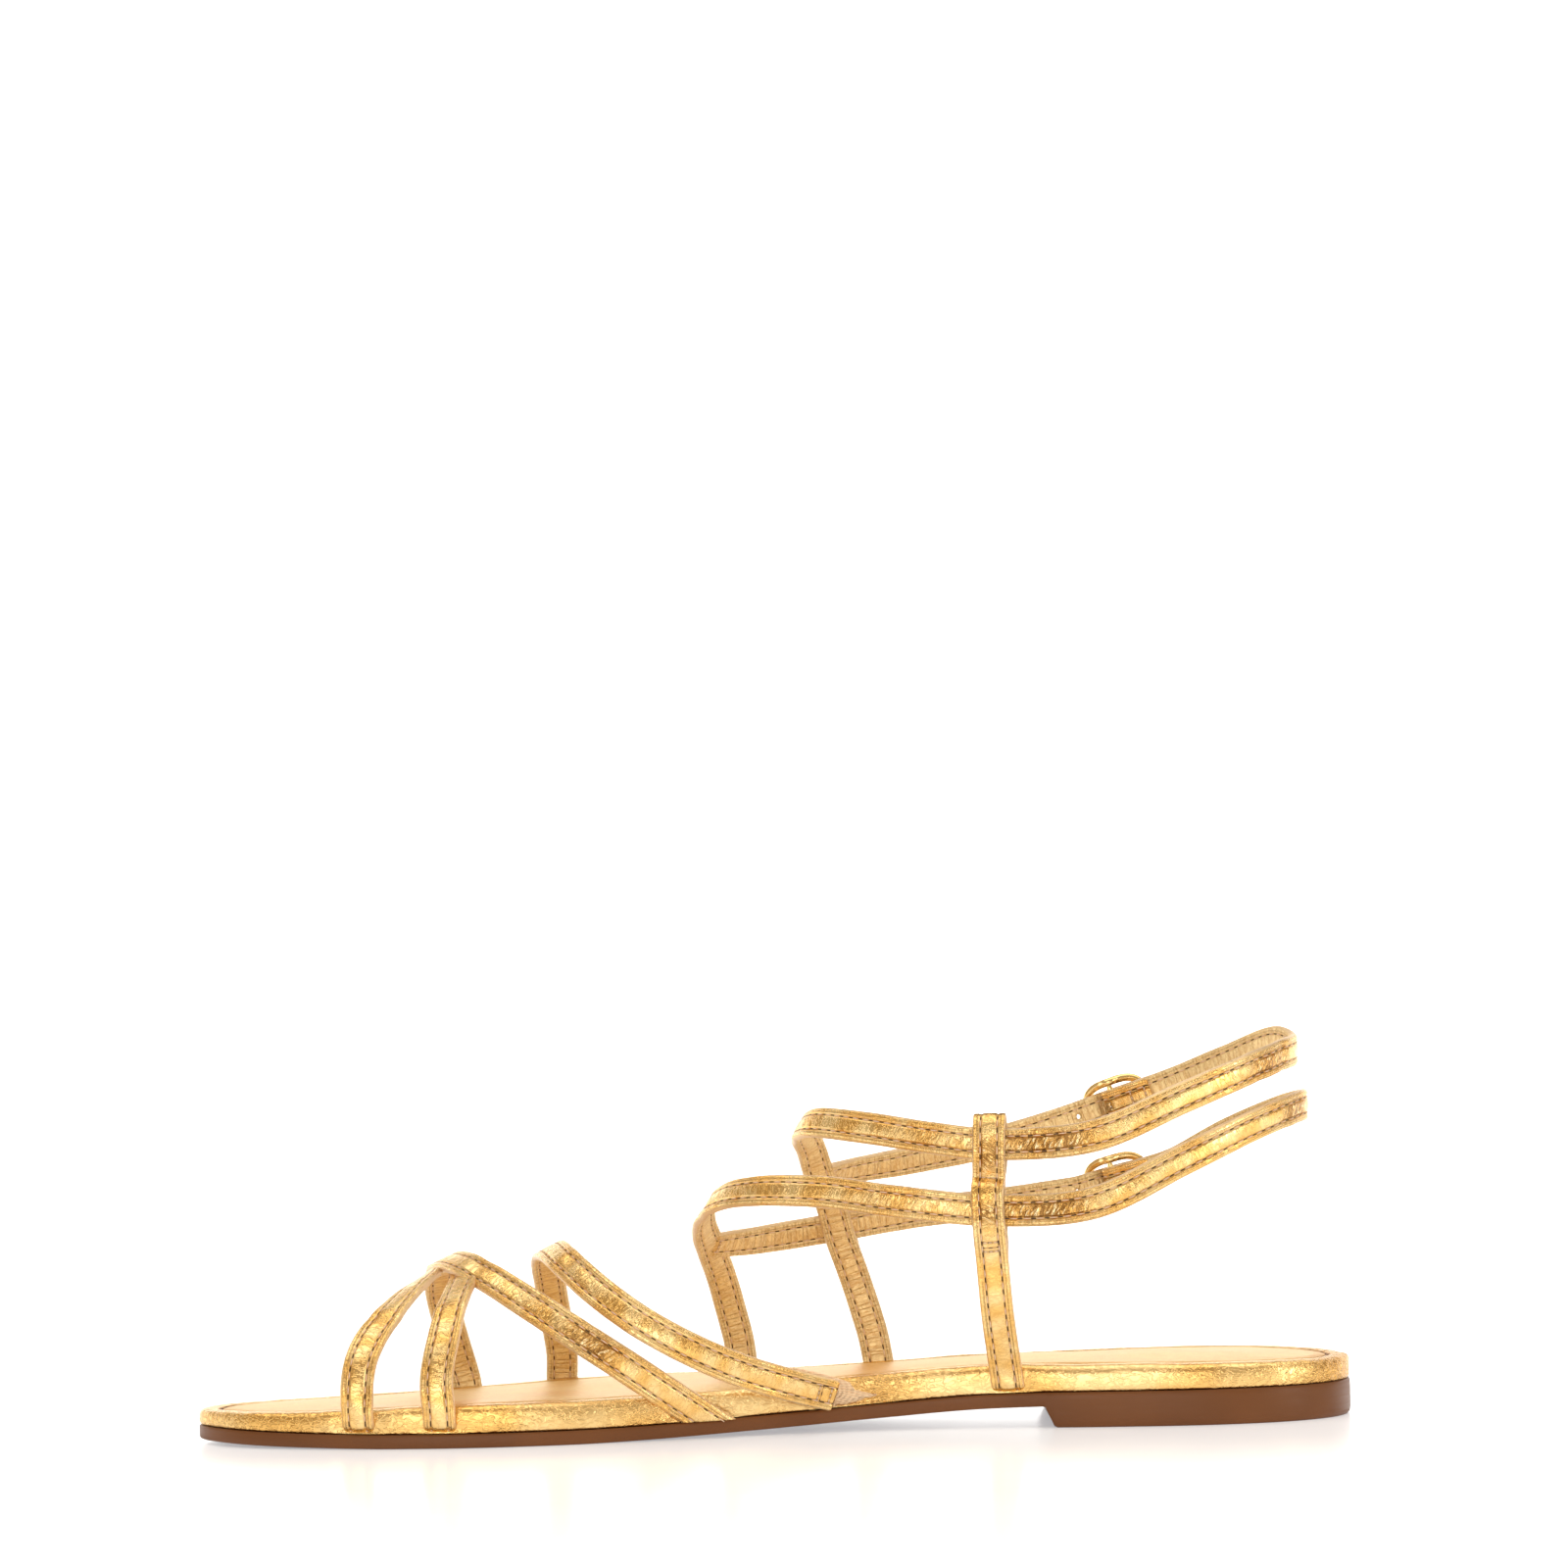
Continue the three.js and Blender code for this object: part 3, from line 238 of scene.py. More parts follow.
# %% Tables of the ankle straps
LOWER_ANKLE_STRAP = rows("along across up leg", [
    (0.532, -0.470, 0.193, 0.08),
    (0.540, -0.448, 0.339, 0.18),
    (0.547, -0.388, 0.456, 0.30),
    (0.555, -0.288, 0.564, 0.42),
    (0.560, -0.165, 0.651, 0.52),
    (0.557, -0.050, 0.722, 0.60),
    (0.542, 0.052, 0.772, 0.68),
    (0.513, 0.158, 0.792, 0.75),
    (0.455, 0.262, 0.777, 0.85),
    (0.397, 0.342, 0.729, 0.90),
    (0.310, 0.378, 0.667, 0.95),
    (0.226, 0.375, 0.679, 1.00),
    (0.148, 0.330, 0.819, 1.00),
    (0.085, 0.228, 0.929, 1.00),
    (0.046, 0.100, 0.981, 1.00),
    (0.034, -0.010, 0.989, 1.00),
    (0.050, -0.130, 0.964, 1.00),
    (0.095, -0.280, 0.874, 1.00),
    (0.140, -0.362, 0.767, 1.00),
])

UPPER_ANKLE_STRAP = rows("along across up leg", [
    (0.413, -0.410, 0.193, 0.00),
    (0.428, -0.415, 0.409, 0.08),
    (0.439, -0.396, 0.549, 0.12),
    (0.447, -0.360, 0.679, 0.14),
    (0.458, -0.300, 0.814, 0.25),
    (0.465, -0.215, 0.914, 0.45),
    (0.472, -0.110, 0.974, 0.60),
    (0.471, -0.010, 1.004, 0.65),
    (0.459, 0.080, 1.016, 0.70),
    (0.413, 0.225, 0.986, 0.85),
    (0.360, 0.320, 0.936, 0.90),
    (0.310, 0.358, 0.901, 0.95),
    (0.225, 0.378, 0.917, 1.00),
    (0.147, 0.328, 1.040, 1.00),
    (0.090, 0.238, 1.128, 1.00),
    (0.054, 0.110, 1.178, 1.00),
    (0.042, 0.000, 1.192, 1.00),
    (0.055, -0.120, 1.215, 1.00),
    (0.093, -0.280, 1.145, 1.00),
    (0.138, -0.367, 1.064, 1.00),
])

LOWER_HOLED_STRAP = rows("along across up leg", [
    (0.553, -0.275, 0.574, 0.30),
    (0.524, -0.340, 0.572, 0.50),
    (0.485, -0.405, 0.580, 0.70),
    (0.437, -0.419, 0.595, 0.80),
    (0.370, -0.450, 0.616, 0.85),
    (0.289, -0.456, 0.631, 0.95),
    (0.240, -0.450, 0.654, 1.00),
])

UPPER_HOLED_STRAP = rows("along across up leg", [
    (0.452, -0.318, 0.801, 0.20),
    (0.425, -0.372, 0.803, 0.45),
    (0.373, -0.418, 0.817, 0.70),
    (0.300, -0.443, 0.857, 0.90),
    (0.240, -0.442, 0.920, 1.00),
])
print(len(UPPER_ANKLE_STRAP), "places on the upper ankle strap")

# %% [markdown]
# ## Tables of the keeper, buckles and lasted ends
# The keeper is the inner upright that both ankle straps run through. room says where its two layers stand
# apart. A lasted end is where a strap goes under the insole: its place, its side, and how it leans.

# %% Tables of the keeper, buckles and lasted ends
KEEPER_STRAP = rows("along across up room", [
    (0.309, 0.340, 0.299, 0.0),
    (0.313, 0.370, 0.509, 0.0),
    (0.314, 0.375, 0.595, 1.0),
    (0.315, 0.375, 0.739, 1.0),
    (0.314, 0.367, 0.784, 0.0),
    (0.313, 0.360, 0.828, 1.0),
    (0.312, 0.354, 0.966, 1.0),
])
KEEPER_TOP = 1.004
KEEPER_INNER_END = 0.474
KEEPER_TURN = math.radians(8)
LOWER_BUCKLE = {"along": 0.193, "across": -0.425, "up": 0.698, "leg": 1.0}
UPPER_BUCKLE = {"along": 0.191, "across": -0.427, "up": 0.986, "leg": 1.0}

FOOTING = {
    "first_toe": (0.856, "medial", 0.0),
    "second_toe": (0.786, "medial", 0.0),
    "crossing_inner": (0.562, "medial", 1.1),
    "crossing_outer": (0.776, "lateral", 0.1),
    "instep_outer": (0.690, "lateral", 0.1),
    "elastic": (0.438, "medial", 1.5),
    "lower_ankle": (0.529, "lateral", 0.0),
    "upper_ankle": (0.406, "lateral", 0.15),
    "keeper": (0.301, "medial", 0.1),
}
print(len(FOOTING), "lasted ends")

# %% [markdown]
# ## Smooth curves through a table
# A smooth function is put through each column of a table. The outline is read in the angle of a half turn
# from heel to toe, which makes both ends round. A plain spline over the length would leave them pointed.

# %% Smooth curves through a table
def curve_through(table, column, measure=lambda along: along):
    """A smooth function of the share of the length through one column of a table."""
    at = [measure(row["along"]) for row in table]
    value = [row[column] for row in table]
    slopes = [(value[i + 1] - value[i]) / (at[i + 1] - at[i]) for i in range(len(at) - 1)]
    tangents = [slopes[0]]
    for i in range(1, len(at) - 1):
        before, after = at[i] - at[i - 1], at[i + 1] - at[i]
        tangents.append((slopes[i - 1] * after + slopes[i] * before) / (before + after))
    tangents.append(slopes[-1])

    def read(along):
        s = min(max(measure(along), at[0]), at[-1])
        i = 0
        while i < len(at) - 2 and s > at[i + 1]:
            i += 1
        h = at[i + 1] - at[i]
        u = (s - at[i]) / h
        return (
            (2 * u**3 - 3 * u**2 + 1) * value[i] + (u**3 - 2 * u**2 + u) * h * tangents[i]
            + (3 * u**2 - 2 * u**3) * value[i + 1] + (u**3 - u**2) * h * tangents[i + 1]
        )

    return read


def half_turn(along):
    """The angle from heel to toe at a share of the length."""
    return math.acos(1 - 2 * min(max(along, 0), 1))

# %% [markdown]
# ## Heights and outline
# These functions say how high the sole's underside, its upper face and the insole are, and where the outline
# runs. Everything that lies on the sole is placed by them.

# %% Heights and outline
edge = {side: curve_through(OUTLINE, side, half_turn) for side in ("medial", "lateral")}
padding = {side: curve_through(PADDING, side) for side in ("medial", "lateral")}
arch_rise = curve_through(ARCH, "rise")
spring_lift = curve_through(SPRING, "lift")
BREAST = HEEL_LENGTH / SHOE_LENGTH
BREAST_FOOT = (HEEL_LENGTH - BREAST_SLANT) / SHOE_LENGTH
MIDDLE_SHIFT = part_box("outsole")[0][1] / MM - min(
    edge["lateral"](i / 400) * BALL_WIDTH for i in range(401)
)


def behind_breast(along):
    """Height of the underside's curve, which the heel's block hides behind the breast."""
    heel_adds = HEEL_SEAT_HEIGHT - SOLE_THICKNESS
    return heel_adds * max(0, arch_rise(along)) + TOE_SPRING * max(0, spring_lift(along))


def underside(along):
    """Height of the sole's underside, with the heel's slanted breast."""
    if along <= BREAST_FOOT:
        return 0
    if along < BREAST:
        return behind_breast(BREAST) * (along - BREAST_FOOT) / (BREAST - BREAST_FOOT)
    return behind_breast(along)


def sole_top(along):
    """Height of the sole's upper face."""
    if along >= BREAST:
        return behind_breast(along) + SOLE_THICKNESS
    dip = HEEL_SEAT_HEIGHT - SOLE_THICKNESS - behind_breast(BREAST)
    return HEEL_SEAT_HEIGHT - dip * (along / BREAST) ** 3


def insole_bottom(along):
    return sole_top(along) + GAP


def insole_top(along, side):
    return insole_bottom(along) + INSOLE_THICKNESS * padding[side](along)


def outline_point(along, side, inset):
    """A point of the sole's outline, moved inwards by inset."""
    point = lambda s: Vector(((s - 0.5) * SHOE_LENGTH, edge[side](s) * BALL_WIDTH + MIDDLE_SHIFT))
    if along <= 0 or along >= 1:
        return point(along) + Vector((inset if along <= 0 else -inset, 0))
    step = min(0.0005, along / 2, (1 - along) / 2)
    run = (point(along + step) - point(along - step)).normalized()
    inwards = Vector((run.y, -run.x)) if side == "medial" else Vector((-run.y, run.x))
    return point(along) + inwards * inset


print("breast of the heel at", round((BREAST - 0.5) * SHOE_LENGTH, 1), "mm")

# %% [markdown]
# ## Courses of the straps
# A strap is a list of stops: a point, the direction that the strap faces there, and a skew that leans its
# sections. Courses keep the strap's middle line and its turn together, so that a band never flips over.

# %% Courses of the straps
Stop = namedtuple("Stop", "point out skew", defaults=[0.0])
Section = namedtuple("Section", "point tangent wide out along")


def place(row):
    """The point of a table's row."""
    return Vector((
        (row["along"] - 0.5) * SHOE_LENGTH,
        row["across"] * BALL_WIDTH + MIDDLE_SHIFT,
        sole_top(row["along"]) + row["up"] * INSTEP_HEIGHT,
    ))


def facing(leg, point):
    """The direction that a strap faces at a point."""
    y = point.y - MIDDLE_SHIFT
    from_foot = Vector((0, y, point.z - sole_top(0.5) - FOOT_AXIS_HEIGHT)).normalized()
    from_leg = Vector((point.x - (LEG_AXIS - 0.5) * SHOE_LENGTH, y, 0)).normalized()
    return from_foot.lerp(from_leg, leg).normalized()


def course(table):
    """The stops through a table's rows."""
    points = [place(row) for row in table]
    stops = []
    for i, (row, point) in enumerate(zip(table, points)):
        run = (points[min(i + 1, len(points) - 1)] - points[max(i - 1, 0)]).normalized()
        out = facing(row["leg"], point)
        stops.append(Stop(point, (out - run * out.dot(run)).normalized()))
    return stops


def offset(stops, distance):
    return [stop._replace(point=stop.point + stop.out * distance) for stop in stops]


def back(stops):
    return list(reversed(stops))


print(len(course(CROSSING_STRAP)), "stops on the crossing strap")

# %% [markdown]
# ## Lasted ends
# On a real shoe the strap's end is pulled round the insole and glued under it. These stops make that end: out
# from under the insole, round its lower edge and up its rim.

# %% Lasted ends
def footing(name, thickness=STRAP_THICKNESS):
    """The lasted end of a strap: from under the insole, round its lower edge and up its rim."""
    along, side, lean = FOOTING[name]
    slope = (sole_top(along + 0.01) - sole_top(along - 0.01)) / (0.02 * SHOE_LENGTH)
    down = Vector((slope, 0, -1))
    outwards = (outline_point(along, side, 0) - outline_point(along, side, 1)).to_3d()
    skew = -lean if side == "medial" else lean
    wall = RIM_BITE - thickness / 2
    bend = thickness * 0.9

    def at(inset, rise, shift, out, slant):
        share = along + shift / SHOE_LENGTH
        height = insole_bottom(share) + GAP * lean + thickness / 2 + rise
        flat = outline_point(share, side, inset)
        return Stop(Vector((flat.x, flat.y, height)), out.normalized(), slant)

    lasted = [
        at(wall + LASTING_MARGIN, 0, -lean * (LASTING_MARGIN + bend), down, skew),
        at(wall + 2.2 * bend, 0, -lean * 2 * bend, down, skew),
        at(wall + 0.35 * bend, 0.35 * bend, 0, outwards + down, skew),
        at(wall, 1.6 * bend, lean * 1.6 * bend, outwards, skew),
    ]
    if lean > STEEP_LEAN:
        return lasted
    rise = 0.6 * INSOLE_THICKNESS
    return [*lasted, at(wall - 0.2, rise, lean * rise, outwards, skew * 0.7)]


print("the instep strap is lasted at", FOOTING["instep_outer"][0], "of the length")

# %% [markdown]
# ## Walking along a strap
# Smooth curves through the stops give the strap's frame at any distance along it. A curve object could do
# the same, but then the stitches and holes couldn't be placed by the millimetre.

# %% Walking along a strap
def smooth_path(points, centripetal):
    """A smooth curve through points, read from 0 to 1."""
    ends = [2 * points[0] - points[1], *points, 2 * points[-1] - points[-2]]

    def read(t):
        i = min(int(t * (len(points) - 1)), len(points) - 2)
        w = t * (len(points) - 1) - i
        a, b, c, d = ends[i:i + 4]
        if centripetal:
            gap = [max(math.sqrt((q - p).length), 1e-6) for p, q in ((a, b), (b, c), (c, d))]
            start = (b - a) / gap[0] - (c - a) / (gap[0] + gap[1]) + (c - b) / gap[1]
            end = (c - b) / gap[1] - (d - b) / (gap[1] + gap[2]) + (d - c) / gap[2]
            start, end = start * gap[1], end * gap[1]
        else:
            start, end = (c - a) / 2, (d - b) / 2
        return (
            b + start * w + (3 * (c - b) - 2 * start - end) * w**2
            + (2 * (b - c) + start + end) * w**3
        )

    return read


def track(stops):
    """The frame of a strap at a share of its way over its stops."""
    path = smooth_path([stop.point for stop in stops], True)
    turn = smooth_path([stop.out for stop in stops], False)
    slant = smooth_path([Vector((stop.skew, 0, 0)) for stop in stops], False)

    def read(t, along=0.0):
        tangent = (path(min(t + 1e-4, 1)) - path(max(t - 1e-4, 0))).normalized()
        wide = tangent.cross(turn(t)).normalized()
        out = wide.cross(tangent).normalized()
        return Section(path(t), tangent, wide + tangent * slant(t).x, out, along)

    return read


SECTION_SPACING = 0.9
THIN_SPACING = 0.5


def walk(stops, spacing=SECTION_SPACING):
    """Sections at even distances along a strap."""
    read = track(stops)
    steps = (len(stops) - 1) * 20
    path = smooth_path([stop.point for stop in stops], True)
    points = [path(i / steps) for i in range(steps + 1)]
    reach = [0.0]
    for a, b in zip(points, points[1:]):
        reach.append(reach[-1] + (b - a).length)
    count = max(4, round(reach[-1] / spacing))
    found, i = [], 0
    for n in range(count + 1):
        wanted = reach[-1] * n / count
        while i < steps - 1 and reach[i + 1] < wanted:
            i += 1
        share = (wanted - reach[i]) / max(reach[i + 1] - reach[i], 1e-9)
        found.append(read((i + min(share, 1)) / steps, wanted))
    return found


print("crossing strap:", round(walk(course(CROSSING_STRAP))[-1].along), "mm between its lasted ends")

# %% [markdown]
# ## Frame of a buckle
# A buckle has its own frame: forward along the strap, high away from the foot, and along its bar. What lies
# on the buckle is given in that frame, so all of it moves with the buckle.

# %% Frame of a buckle
HALF_LENGTH = BUCKLE_LENGTH / 2 - BUCKLE_WIRE_RADIUS
HALF_BAR = ANKLE_STRAP_WIDTH / 2 + BUCKLE_SIDE_ROOM + BUCKLE_WIRE_RADIUS
FOLD_RADIUS = BAR_RADIUS + GAP + LAYER_THICKNESS / 2
HOLED_OVER_BAR = FOLD_RADIUS + LAYER_THICKNESS / 2 + GAP + HOLED_THICKNESS / 2
HOLED_AT_RING = BUCKLE_RISE - BUCKLE_WIRE_RADIUS - HOLED_THICKNESS / 2 - 2 * GAP
MAIN_AT_RING = HOLED_AT_RING - HOLED_THICKNESS / 2 - GAP - STRAP_THICKNESS / 2
TAB_AT_RING = MAIN_AT_RING - STRAP_THICKNESS / 2 - LAYER_THICKNESS / 2 + LAYER_BITE

HOLED_OVER_BUCKLE = rows("forward high", [
    (HALF_LENGTH + 2, HOLED_AT_RING),
    (HALF_LENGTH - 1.4, HOLED_AT_RING + 0.1),
    (2.4, HOLED_OVER_BAR - 0.45),
    (0, HOLED_OVER_BAR),
    (-2.4, HOLED_OVER_BAR - 0.45),
    (1.4 - HALF_LENGTH, HOLED_AT_RING + 0.1),
    (-1.5 - HALF_LENGTH, HOLED_AT_RING),
])


class BuckleFrame:
    """Where a buckle lies: its centre, and the directions ahead, out and along its bar."""

    def __init__(self, row, rear, front):
        self.origin = place(row)
        self.ahead = (place(front) - place(rear)).normalized()
        self.bar = self.ahead.cross(facing(row["leg"], self.origin)).normalized()
        self.out = self.bar.cross(self.ahead).normalized()

    def at(self, forward, high, along=0.0):
        return self.origin + self.ahead * forward + self.out * high + self.bar * along


print("a buckle is", BUCKLE_LENGTH, "mm long and", round(2 * HALF_BAR, 1), "mm between its sides")

# %% [markdown]
# ## Courses of the ankle straps
# An ankle strap has three bands: the main band with its loop round the heel, the holed band over the buckle,
# and the short band that is folded round the buckle's bar.

# %% Courses of the ankle straps
def ankle_courses(name, table, holed_table, buckle_row):
    """The three courses of one ankle strap: main with its loop, holed, and folded round the bar."""
    buckle = BuckleFrame(buckle_row, table[-1], holed_table[-1])
    loop = course(table)
    main = [
        *footing(name), *loop,
        Stop(buckle.at(-TAB_LENGTH * 0.95, MAIN_AT_RING), buckle.out),
        Stop(buckle.at(-TAB_LENGTH * 0.47, MAIN_AT_RING + GAP), buckle.out),
    ]
    tail = offset(back(loop)[:2], (STRAP_THICKNESS + HOLED_THICKNESS) / 2 + GAP)
    holed = [
        *course(holed_table),
        *[Stop(buckle.at(row["forward"], row["high"]), buckle.out) for row in HOLED_OVER_BUCKLE],
        tail[0],
        Stop(tail[0].point.lerp(tail[1].point, 0.45), tail[0].out.lerp(tail[1].out, 0.45)),
    ]
    fold = [
        Stop(buckle.at(-TAB_LENGTH * 0.6, MAIN_AT_RING + GAP), buckle.out),
        Stop(buckle.at(-TAB_LENGTH / 3, 0.2), buckle.out),
    ]
    for degrees in (100, 50, 0, -50, -100):
        c, s = math.cos(math.radians(degrees)), math.sin(math.radians(degrees))
        fold.append(Stop(buckle.at(FOLD_RADIUS * c, FOLD_RADIUS * s), buckle.ahead * c + buckle.out * s))
    inside = -buckle.out
    fold += [
        Stop(buckle.at(-TAB_LENGTH / 3, TAB_AT_RING + 0.5), inside),
        Stop(buckle.at(-TAB_LENGTH * 0.6, TAB_AT_RING), inside),
        Stop(buckle.at(-TAB_LENGTH, TAB_AT_RING), inside),
    ]
    return buckle, main, holed, fold

# %% [markdown]
# ## Courses of the keeper and the strap loop
# The keeper is one band folded over its top, so its outer and inner layer are two courses that share a
# crown. The strap loop stands off the outer upright just enough to let the lower holed strap through.

# %% Courses of the keeper and the strap loop
def keeper_courses():
    """The outer and inner layer of the inner strap, folded over its top."""
    sewn = LAYER_THICKNESS / 2 - LAYER_BITE / 2
    wide_open = STRAP_THICKNESS / 2 + 2 * GAP + LAYER_THICKNESS / 2
    outside = Vector((math.sin(KEEPER_TURN), math.cos(KEEPER_TURN), 0))

    def layer(row, side):
        lift = side * (sewn + row["room"] * (wide_open - sewn))
        return Stop(place(row) + outside * lift, outside * side)

    crown = Stop(place({**KEEPER_STRAP[-1], "up": KEEPER_TOP}), Vector((0, 0, 1)))
    outer = [*footing("keeper", LAYER_THICKNESS), *[layer(row, 1) for row in KEEPER_STRAP], crown]
    inner = [
        crown, *[layer(row, -1) for row in back(KEEPER_STRAP[1:])],
        layer({**KEEPER_STRAP[1], "up": KEEPER_INNER_END}, -1),
    ]
    return outer, inner


def loop_course(stops):
    """The loop on the outer upright that the lower holed strap runs through."""
    height = place(LOWER_HOLED_STRAP[3]).z
    read = track(stops)
    step = 0.001
    t = 0.0
    while read(t).point.z < height:
        t += step
    per_mm = step / (read(t + step).point - read(t).point).length
    sewn = (STRAP_THICKNESS + LAYER_THICKNESS) / 2 - LAYER_BITE
    wide_open = sewn + LAYER_BITE + HOLED_THICKNESS + 5 * GAP
    half = ANKLE_STRAP_WIDTH / 2
    lifts = [
        (-half - LOOP_SEW_END, sewn), (-half - LOOP_SEW_START, sewn), (-half - LOOP_OPENING, wide_open),
        (half + LOOP_OPENING, wide_open), (half + LOOP_SEW_START, sewn), (half + LOOP_SEW_END, sewn),
    ]
    found = []
    for up, lift in lifts:
        here = read(t + up * per_mm)
        found.append(Stop(here.point + here.out * lift, here.out))
    return found

# %% [markdown]
# ## All the long courses
# The courses are worked out once here. The elastic starts under the insole and ends behind the folded end of
# the instep strap, where it is sewn.

# %% All the long courses
lower_buckle, lower_main, lower_holed, lower_fold = ankle_courses(
    "lower_ankle", LOWER_ANKLE_STRAP, LOWER_HOLED_STRAP, LOWER_BUCKLE)
upper_buckle, upper_main, upper_holed, upper_fold = ankle_courses(
    "upper_ankle", UPPER_ANKLE_STRAP, UPPER_HOLED_STRAP, UPPER_BUCKLE)
keeper_outer, keeper_inner = keeper_courses()
instep_end = course(INSTEP_STRAP)[:2]
under_instep = [
    Stop(instep_end[0].point.lerp(instep_end[1].point, 0.5), instep_end[0].out), instep_end[1],
]
elastic_course = [
    *footing("elastic", ELASTIC_THICKNESS),
    *offset(under_instep, -(STRAP_THICKNESS + ELASTIC_THICKNESS) / 2 - 2 * GAP),
]
print("main ankle straps:", round(walk(lower_main)[-1].along), "and", round(walk(upper_main)[-1].along), "mm")

# %% [markdown]
# ## Pieces
# Every new piece starts as a flat grid. Its columns and rows are laid where the shape wants them, and the
# seams are welded. An extruded section would do for a plain band, but here each row differs a little from the
# next. Numbers that a material needs, such as the way along a strap, are kept on the vertices.

# %% Pieces
WELD = 1e-7


def grid_piece(name, columns, rows_, lay, trim=None):
    """A piece from a grid: lay(column, row) gives a point in millimetres and the values kept there.

    trim is a point and a direction: what lies behind the plane through them is cut away.
    """
    bm = bmesh.new()
    bmesh.ops.create_grid(bm, x_segments=columns, y_segments=rows_, size=1)
    kept = {}
    for vert in bm.verts:
        column = round((vert.co.x + 1) / 2 * columns)
        row = round((vert.co.y + 1) / 2 * rows_)
        point, values = lay(column, row)
        vert.co = point * MM
        kept[vert.index] = values
    for key in next(iter(kept.values()), {}):
        layer = bm.verts.layers.float.new(key)
        for vert in bm.verts:
            vert[layer] = kept[vert.index][key]
    bmesh.ops.remove_doubles(bm, verts=bm.verts, dist=WELD)
    if trim:
        everything = [*bm.verts, *bm.edges, *bm.faces]
        bmesh.ops.bisect_plane(
            bm, geom=everything, plane_co=trim[0] * MM, plane_no=trim[1], clear_inner=True)
    bmesh.ops.holes_fill(bm, edges=bm.edges, sides=0)
    punch_holes(bm)
    return finished(name, bm)


def punch_holes(bm):
    """Opens a hole round the vertices that keep its number, and walls it with a bridge of faces."""
    layer = bm.verts.layers.float.get("punch")
    numbers = {round(vert[layer]) for vert in bm.verts} - {0} if layer else ()
    for number in numbers:
        middle = [vert for vert in bm.verts if round(vert[layer]) == number]
        bmesh.ops.delete(bm, geom=middle, context="VERTS")
        bmesh.ops.bridge_loops(bm, edges=[edge for edge in bm.edges if edge.is_boundary])


def finished(name, bm):
    """The object of a finished mesh, riding on the shoe's one body."""
    bmesh.ops.recalc_face_normals(bm, faces=bm.faces)
    for face in bm.faces:
        face.smooth = True
    mesh = bpy.data.meshes.new(name)
    bm.to_mesh(mesh)
    bm.free()
    piece = bpy.data.objects.new(name, mesh)
    bpy.context.scene.collection.objects.link(piece)
    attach(piece, "root")
    return piece


def dress(piece, material, slot, *nodes):
    """Gives a piece its material and hides the solids of the nodes that it stands for. The slot is not used.
    """
    piece.data.materials.clear()
    piece.data.materials.append(material)
    if nodes:
        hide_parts(*nodes)
    print(piece.name, len(piece.data.polygons), "faces")


def bump(x, width):
    """A soft hump of height 1 at x = 0."""
    return math.exp(-((x / width) ** 2))


# %% [markdown]
# ## Values in a shader
# A Value wraps the output of a shader node, so that sums and products of values read like plain ones. The
# same could be wired by hand in the editor, but a formula is easier to read and to change.

# %% Values in a shader
class Value:
    """The output socket of a node in a material, with the usual operators."""

    def __init__(self, tree, socket):
        self.tree = tree
        self.socket = socket

    def node(self, kind, output=0, settings=None, **inputs):
        """Makes a node in the same material and returns one of its outputs."""
        made = self.tree.nodes.new(kind)
        for key, setting in (settings or {}).items():
            setattr(made, key, setting)
        for key, value in inputs.items():
            socket = made.inputs[int(key[1:])] if key[1:].isdigit() else made.inputs[key.replace("_", " ")]
            if isinstance(value, Value):
                self.tree.links.new(value.socket, socket)
            else:
                socket.default_value = value
        return Value(self.tree, made.outputs[output])

    def math(self, operation, other=0.0):
        return self.node("ShaderNodeMath", settings={"operation": operation}, i0=self, i1=other)

    def __add__(self, other):
        return self.math("ADD", other)

    __radd__ = __add__

    def __sub__(self, other):
        return self.math("SUBTRACT", other)

    def __rsub__(self, other):
        return (self * -1).math("ADD", other)

    def __mul__(self, other):
        return self.math("MULTIPLY", other)

    __rmul__ = __mul__

    def __truediv__(self, other):
        return self.math("DIVIDE", other)

    def size(self):
        return self.math("ABSOLUTE")

    def ramp(self, low, high):
        """0 below low and 1 above high, or the other way round where low is larger."""
        return self.node(
            "ShaderNodeMapRange", settings={"interpolation_type": "SMOOTHSTEP"},
            i0=self, i1=low, i2=high, i3=0.0, i4=1.0)

    def mix(self, first, second):
        """A colour between two, with this value as the share of the second."""
        return self.node(
            "ShaderNodeMix", 2, {"data_type": "RGBA"}, i0=self, i6=first, i7=second)

# %% [markdown]
# ## Patterns
# These helpers read a number that the vertices keep, or a place on the piece, and put noise on it. raised
# turns heights in millimetres into a bump.

# %% Patterns
def kept(value, name):
    """A number that a piece's vertices keep."""
    return value.node("ShaderNodeAttribute", 2, {"attribute_name": name})


def spot(value):
    """The place on the piece, in metres."""
    return value.node("ShaderNodeTexCoord", 3)


def scaled(value, x, y, z):
    """A place with its three parts scaled."""
    return value.node("ShaderNodeVectorMath", settings={"operation": "MULTIPLY"}, i0=value, i1=(x, y, z))


def noise_at(where, scale, detail=2.0, distortion=0.0, roughness=0.5):
    return where.node(
        "ShaderNodeTexNoise", 0, Vector=where, Scale=scale, Detail=detail,
        Roughness=roughness, Distortion=distortion)


def new_material(name):
    """A material with a plain shader, and a first value to build the others from."""
    material = bpy.data.materials.new(name)
    material.use_nodes = True
    shader = material.node_tree.nodes["Principled BSDF"]
    return material, shader, Value(material.node_tree, shader.outputs[0])


def feed(shader, first, **inputs):
    """Sets or links the inputs of a shader."""
    for key, value in inputs.items():
        socket = shader.inputs[key.replace("_", " ")]
        if isinstance(value, Value):
            first.tree.links.new(value.socket, socket)
        else:
            socket.default_value = value


